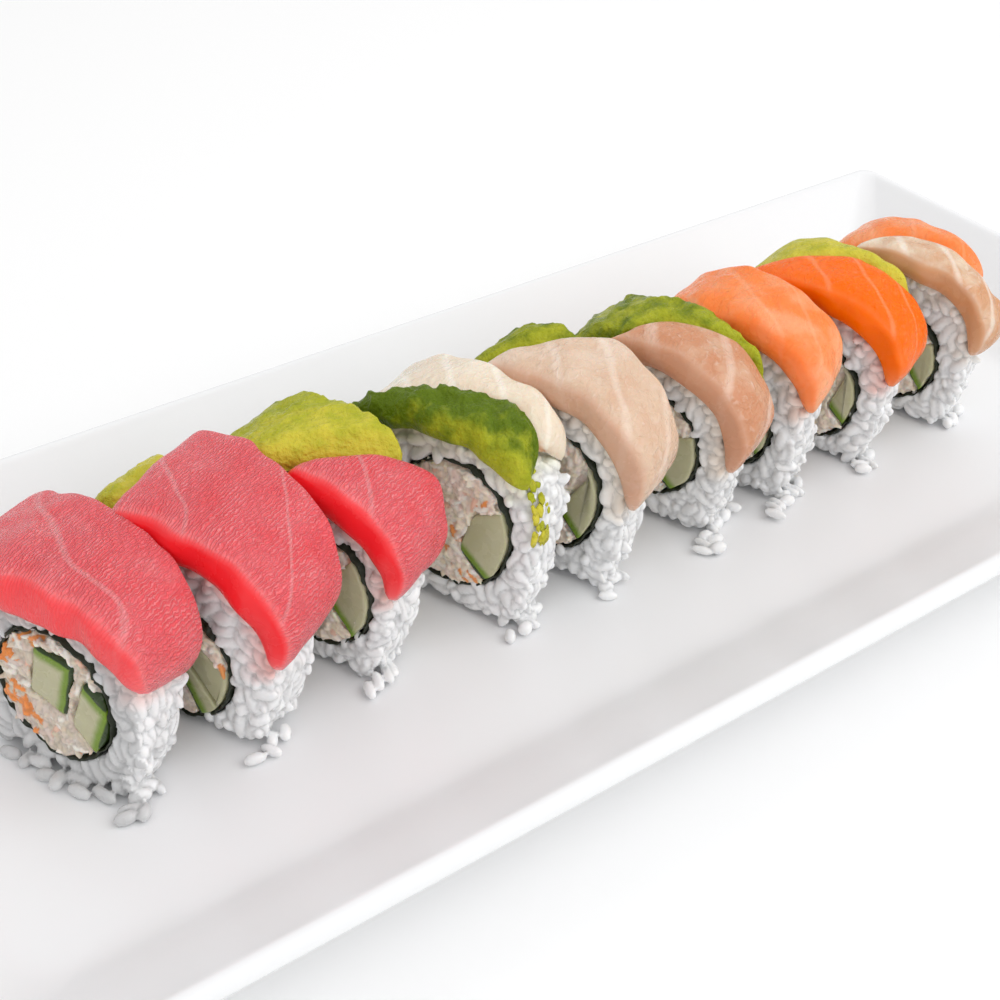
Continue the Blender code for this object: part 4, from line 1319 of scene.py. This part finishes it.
class Track:
    """The line that a strip lies on, by the length along it from the slice's top."""

    def __init__(self, piece):
        self.line = outline(piece["half"], piece["high"], TOPPING_LIFT)
        arc = arc_of(*self.line)
        self.order = np.argsort(arc)
        self.arc = arc[self.order]

    def at(self, arc):
        """The places on the line, across and up."""
        return np.stack([np.interp(arc, self.arc, side[self.order]) for side in self.line], axis=-1)

    def out(self, arc):
        """The ways straight out from the line."""
        ahead = self.at(arc + 0.8) - self.at(arc - 0.8)
        out = np.stack([ahead[..., 1], -ahead[..., 0]], axis=-1)
        return out / np.linalg.norm(out, axis=-1)[..., None]


def strip_section(piece, track, u, thick, far, near, front, back, look):
    """One loop round a strip, this share of the way from its far end, with the values its material reads."""
    guess = far[0] + (near[0] - far[0]) * u
    width = (np.interp(guess, *zip(*back)) - np.interp(guess, *zip(*front))) * piece["thick"]
    width = max(width, 4.0)
    edges = np.array(EDGE_SAMPLES) / width
    share = np.concatenate([edges, np.linspace(edges[-1], 1.0 - edges[-1], ACROSS)[1:-1], 1.0 - edges[::-1]])
    first = far[0] + (far[1] - far[0]) * share
    last = near[0] + (near[1] - near[0]) * share
    at = first + (last - first) * u
    from_end = np.minimum(u, 1.0 - u) * (last - first)
    front_at = np.interp(at, *zip(*front)) * piece["thick"]
    back_at = np.interp(at, *zip(*back)) * piece["thick"]
    corner = min(look["corner"], 0.4 * width)
    short = corner - np.minimum(from_end, corner)
    cut = corner - np.sqrt(corner**2 - np.minimum(short, 0.97 * corner) ** 2)
    along = front_at + cut + (back_at - front_at - 2.0 * cut) * share
    span = last - first
    tapered = np.minimum(u * span / FAR_TAPER, (1.0 - u) * span / look["taper"])
    rise = np.sin(0.5 * np.pi * np.clip(tapered, 0.0, 1.0)) ** 0.8
    height = EDGE_THICK + (thick - EDGE_THICK) * rise
    height = height * np.sqrt(np.clip(1.0 - (1.0 - np.clip(from_end / 0.8, 0.0, 1.0)) ** 2, 0.02, 1.0))
    from_side = np.minimum(share, 1.0 - share) * width
    bend = np.minimum(look["round"], 0.45 * height)
    drop = bend - np.sqrt(np.clip(bend**2 - (bend - np.minimum(from_side, bend)) ** 2, 0.0, None))
    lift = 0.4 - np.sqrt(np.clip(0.16 - (0.4 - np.minimum(from_side, 0.4)) ** 2, 0.0, None))
    crown = look["crown"] * np.sin(np.pi * share) * np.clip(height / thick, 0.0, 1.0)
    top = height - drop + crown
    low = np.minimum(lift, 0.3 * height)
    # The loop runs forward under the strip, up its back, over its top and down its front.
    count = len(share)
    turned = np.concatenate([np.arange(count), [count - 1] * 3, np.arange(count)[::-1], [0] * 3])
    is_back = np.arange(len(turned)) >= count
    rear = low[-1] + (top[-1] - low[-1]) * SIDE_SAMPLES
    fore = low[0] + (top[0] - low[0]) * SIDE_SAMPLES[::-1]
    raised = np.concatenate([low, rear, top[::-1], fore])
    bulge = np.zeros(len(turned))
    bulge[count : count + 3] = SIDE_BULGE * min(height[-1], 3.0)
    bulge[-3:] = -SIDE_BULGE * min(height[0], 3.0)
    front_half = np.concatenate([share < 0.5, [False] * 3, (share < 0.5)[::-1], [True] * 3])
    near_edge = np.concatenate([from_side, np.zeros(3), from_side[::-1], np.zeros(3)])
    droop = np.where(front_half, np.clip(1.0 - near_edge / 3.5, 0.0, 1.0) ** 2, 0.0)
    droop = droop * look["droop"] * min(float(height.mean()) / thick, 1.0)
    base, out = track.at(at), track.out(at)
    flat = base[turned] + out[turned] * (raised - droop)[:, None]
    points = np.concatenate([flat, (along[turned] + bulge - 0.7 * droop)[:, None]], axis=1)
    # The cut side's mask, for its deeper colour, partly painted shade, and for the painted highlight at its top
    # edge.
    side = np.where(front_half, np.clip(1.3 - near_edge / 1.1, 0.0, 1.0), 0.0)
    folded = np.where(is_back & (near_edge > 0.0), 0.0, top[turned] - raised)
    strip = np.stack([at[turned], along[turned] + np.where(front_half, -1.0, 1.0) * folded], axis=-1) * 0.1
    upper = np.where(is_back, 1.0, 0.0)
    upper[count : count + 3] = SIDE_SAMPLES
    upper[-3:] = SIDE_SAMPLES[::-1]
    return points, side, share[turned], upper, strip


def make_topping(name, index, thick, far, near, front, back, material, look):
    """A strip draped over a slice, with rounded edges and an uneven surface."""
    piece = SLICES[index]
    seed = sum(map(ord, name))
    rng = np.random.default_rng(seed)
    track = Track(piece)
    span = max(near[0] - far[0], near[1] - far[1])
    ends = np.array([0.0, 0.1, 0.35, 0.8, 1.6, 2.8]) / span
    stations = np.concatenate([ends, np.linspace(ends[-1], 1.0 - ends[-1], STATIONS)[1:-1], 1.0 - ends[::-1]])
    sections = [strip_section(piece, track, u, thick, far, near, front, back, look) for u in stations]
    points, side, share, upper, strip = (np.array(found) for found in zip(*sections))
    start, by_share, by_length = AVOCADO_TONES.get(name, (0.5, 0.0, 0.0))
    length = np.broadcast_to(stations[:, None], share.shape)
    ripe = start + by_share * share + by_length * length + CUT_RIPE.get(name, 0.0) * side
    thin = np.clip(1.0 - (1.0 - length) * span / 7.0, 0.0, 1.0)
    tone, by_near = FISH_TONES.get(name, (0.5, 0.0))
    tone = tone + by_near * length
    zones = np.stack([side * CUT_SIDE_DEPTH_AND_SHADE.get(name, 1.0), ripe, thin, tone], axis=-1)
    strip = strip + rng.uniform(0.0, 20.0, 2)
    away = points - np.array([0.0, WIDEST_AT - 6.0, 0.0])
    away[..., 2] *= 0.2
    away /= np.linalg.norm(away, axis=-1)[..., None]
    push = waves(rng, points, look["wave"], look["wave_high"]) * (0.25 + 0.75 * upper)
    if look["lump_high"]:
        high = look["lump_high"] * LUMPIER.get(name, 1.0)
        push = push + lumps(points, LUMP_SIZE, seed) * high * (0.15 + 0.85 * upper)
    points = points + away * push[..., None]
    points[..., 2] += waves(rng, points, 9.0, EDGE_WAVE) * np.abs(points[..., 2]) / (0.5 * piece["thick"])
    work = sheet_mesh(placed_points(piece, points), False, zones, strip)
    if name in CRUMBS:
        add_crumbs(work, piece, track, rng, *CRUMBS[name])
    mesh = mesh_from(work, f"strip_{name}")
    finish_piece(f"strip_{name}", mesh, material, name)


def add_crumbs(work, piece, track, rng, arcs, places, count, sizes):
    """Soft crumbs pressed on the rice beside a strip."""
    layer = work.verts.layers.float_color["zone"]
    for _ in range(count):
        arc, size = arcs[0] + (arcs[1] - arcs[0]) * rng.uniform() ** 2.2, rng.uniform(*sizes)
        middle = np.append(track.at(arc) - track.out(arc) * 0.5, rng.uniform(*places) * piece["thick"])
        ripe = rng.uniform(0.5, 1.0)
        made = bmesh.ops.create_icosphere(work, subdivisions=2, radius=1.0)["verts"]
        ball = np.array([vert.co for vert in made])
        out = np.append(track.out(arc), 0.0)
        ball = ball * (size * rng.uniform(0.6, 1.2, 3)) * (1.0 + 0.6 * lumps(ball * size, 1.0, arc))[:, None]
        ball = ball - 0.7 * (ball @ out)[:, None] * out
        for vert, point in zip(made, placed(piece, *(middle + ball).T)):
            vert.co = point
            vert[layer] = (0.0, ripe, 0.0, 0.5)
    bmesh.ops.recalc_face_normals(work, faces=work.faces)


# How each fish looks: its deeper and paler colour, how strongly the flecks, the lines, the thin end and the
# painted highlight along the cut side's top edge show, its softness and shine, and its fibres' sizes.
FISH_LOOKS = {
    "tuna": dict(
        deep=(0.95, 0.016, 0.024), pale=(0.96, 0.42, 0.43), flecks=0.42, lines=0.45, thin=0.35, border=0.3,
        red=True, soft=0.4, specular=0.5,
        fibres={"Fibre Scale": 14.0, "Stretch": 0.45, "Line Scale": 0.22, "Line Width": 0.006,
                "Line Bend": 6.0, "Ripples": 0.85},
    ),
    "salmon": dict(
        deep=(0.93, 0.15, 0.0), pale=(0.93, 0.5, 0.3), flecks=0.12, lines=0.25, thin=0.25, border=0.08,
        red=True, soft=0.4, specular=0.18,
        fibres={"Fibre Scale": 8.0, "Stretch": 0.6, "Line Scale": 0.5, "Line Width": 0.05, "Line Bend": 5.0},
    ),
    "white_fish": dict(
        deep=(0.62, 0.31, 0.15), pale=(0.95, 0.9, 0.82), flecks=0.3, lines=0.45, thin=0.1, border=0.15,
        red=False, soft=0.45, specular=0.5,
        fibres={"Fibre Scale": 7.0, "Stretch": 0.6, "Line Scale": 0.5, "Line Width": 0.12, "Line Bend": 4.0},
    ),
    "pink_fish": dict(
        deep=(0.6, 0.27, 0.14), pale=(0.93, 0.82, 0.72), flecks=0.25, lines=0.3, thin=0.1, border=0.15,
        red=False, soft=0.45, specular=0.5,
        fibres={"Fibre Scale": 8.0, "Stretch": 0.6, "Line Scale": 0.35, "Line Width": 0.1, "Line Bend": 4.0},
    ),
}


def make_toppings(colours):
    """The strips of fish and avocado over the slices."""
    materials = {"avocado": avocado_material(colours)}
    for kind, look in FISH_LOOKS.items():
        materials[kind] = fish_material(f"{kind}_flesh", getattr(colours, kind), look)
    for name, index, thick, far, near, front, back in TOPPINGS:
        kind = name.rsplit("_", 1)[0]
        look = dict(zip(LOOK_PARTS, LOOKS[kind]))
        make_topping(name, index, thick, far, near, front, back, materials[kind], look)


# Each light's name, place, width and power, in metres and watts.
LIGHTS = (
    ("key", (0.6, -0.75, 0.9), 1.3, 9.3),
    ("top", (0.25, 0.7, 1.2), 1.8, 5.6),
    ("fill", (-0.75, -0.62, 0.42), 1.0, 1.6),
)
SKY_STRENGTH = 0.63


def make_stage():
    """The plain pale floor, the soft lights and the camera."""
    scene = bpy.context.scene
    work = bmesh.new()
    bmesh.ops.create_grid(work, x_segments=1, y_segments=1, size=3.0)
    floor = bpy.data.objects.new("floor", mesh_from(work, "floor"))
    scene.collection.objects.link(floor)
    material, _, shader = new_material("pale_floor")
    shader.inputs["Base Color"].default_value = (0.95, 0.95, 0.95, 1.0)
    shader.inputs["Roughness"].default_value = 0.6
    floor.data.materials.append(material)
    world = bpy.data.worlds.new("studio")
    scene.world = world
    world.use_nodes = True
    sky = world.node_tree.nodes["Background"]
    sky.inputs["Color"].default_value = (1.0, 1.0, 1.0, 1.0)
    sky.inputs["Strength"].default_value = SKY_STRENGTH
    for name, place, size, power in LIGHTS:
        light = bpy.data.lights.new(name, "AREA")
        light.shape = "SQUARE"
        light.size = size
        light.energy = power
        lamp = bpy.data.objects.new(name, light)
        lamp.location = place
        lamp.rotation_euler = (-Vector(place)).to_track_quat("-Z", "Y").to_euler()
        scene.collection.objects.link(lamp)
    lens = bpy.data.cameras.new("camera")
    lens.lens = CAMERA_LENS
    lens.sensor_width = 36.0
    lens.clip_start = 0.01
    camera = bpy.data.objects.new("camera", lens)
    camera.location = CAMERA_PLACE
    ahead = Vector((
        math.cos(CAMERA_TILT) * math.cos(CAMERA_HEADING),
        math.cos(CAMERA_TILT) * math.sin(CAMERA_HEADING),
        -math.sin(CAMERA_TILT),
    ))
    camera.rotation_euler = ahead.to_track_quat("-Z", "Y").to_euler()
    scene.collection.objects.link(camera)
    scene.camera = camera
    scene.view_settings.view_transform = "Standard"


class RainbowRoll(bpy.types.PropertyGroup):
    colours: PointerProperty(type=FoodColours)
    sizes: PointerProperty(type=RollSizes)


class ROLL_OT_plate(bpy.types.Operator):
    """Make the glazed plate"""

    bl_idname = "roll.plate"
    bl_label = "Plate"

    def execute(self, context):
        make_plate(settings().colours)
        return {"FINISHED"}


class ROLL_OT_rice(bpy.types.Operator):
    """Pack the grains of every slice's rice"""

    bl_idname = "roll.rice"
    bl_label = "Rice"

    def execute(self, context):
        make_rice(settings().colours, settings().sizes)
        return {"FINISHED"}


class ROLL_OT_nori(bpy.types.Operator):
    """Make the rings of nori"""

    bl_idname = "roll.nori"
    bl_label = "Nori"

    def execute(self, context):
        make_nori(settings().colours)
        return {"FINISHED"}


class ROLL_OT_crab(bpy.types.Operator):
    """Lay the shreds of the crab filling"""

    bl_idname = "roll.crab"
    bl_label = "Crab"

    def execute(self, context):
        make_crab(settings().colours, settings().sizes)
        return {"FINISHED"}


class ROLL_OT_cucumber(bpy.types.Operator):
    """Make the cucumber sticks"""

    bl_idname = "roll.cucumber"
    bl_label = "Cucumber"

    def execute(self, context):
        make_cucumber(settings().colours)
        return {"FINISHED"}


class ROLL_OT_toppings(bpy.types.Operator):
    """Drape the strips of fish and avocado"""

    bl_idname = "roll.toppings"
    bl_label = "Toppings"

    def execute(self, context):
        make_toppings(settings().colours)
        return {"FINISHED"}


class ROLL_OT_stage(bpy.types.Operator):
    """Set the floor, the lights and the camera"""

    bl_idname = "roll.stage"
    bl_label = "Stage"

    def execute(self, context):
        make_stage()
        return {"FINISHED"}


OPERATORS = (
    ROLL_OT_stage, ROLL_OT_plate, ROLL_OT_nori, ROLL_OT_cucumber, ROLL_OT_crab, ROLL_OT_rice,
    ROLL_OT_toppings,
)


class ROLL_PT_panel(bpy.types.Panel):
    """The roll's pieces and settings"""

    bl_idname = "ROLL_PT_panel"
    bl_label = "Rainbow Roll"
    bl_space_type = "VIEW_3D"
    bl_region_type = "UI"
    bl_category = "Rainbow Roll"

    def draw(self, context):
        for operator in OPERATORS:
            self.layout.operator(operator.bl_idname)
        for group in (context.scene.rainbow_roll.sizes, context.scene.rainbow_roll.colours):
            for name in group.__annotations__:
                self.layout.prop(group, name)


CLASSES = (FoodColours, RollSizes, RainbowRoll, *OPERATORS, ROLL_PT_panel)


def register():
    """Adds the settings, the operators and the panel."""
    for made in CLASSES:
        bpy.utils.register_class(made)
    bpy.types.Scene.rainbow_roll = PointerProperty(type=RainbowRoll)


def unregister():
    """Takes them away again."""
    del bpy.types.Scene.rainbow_roll
    for made in reversed(CLASSES):
        bpy.utils.unregister_class(made)


def main():
    """Builds every piece and the stage."""
    register()
    for operator in OPERATORS:
        group, name = operator.bl_idname.split(".")
        getattr(getattr(bpy.ops, group), name)()


if __name__ == "__main__":
    main()
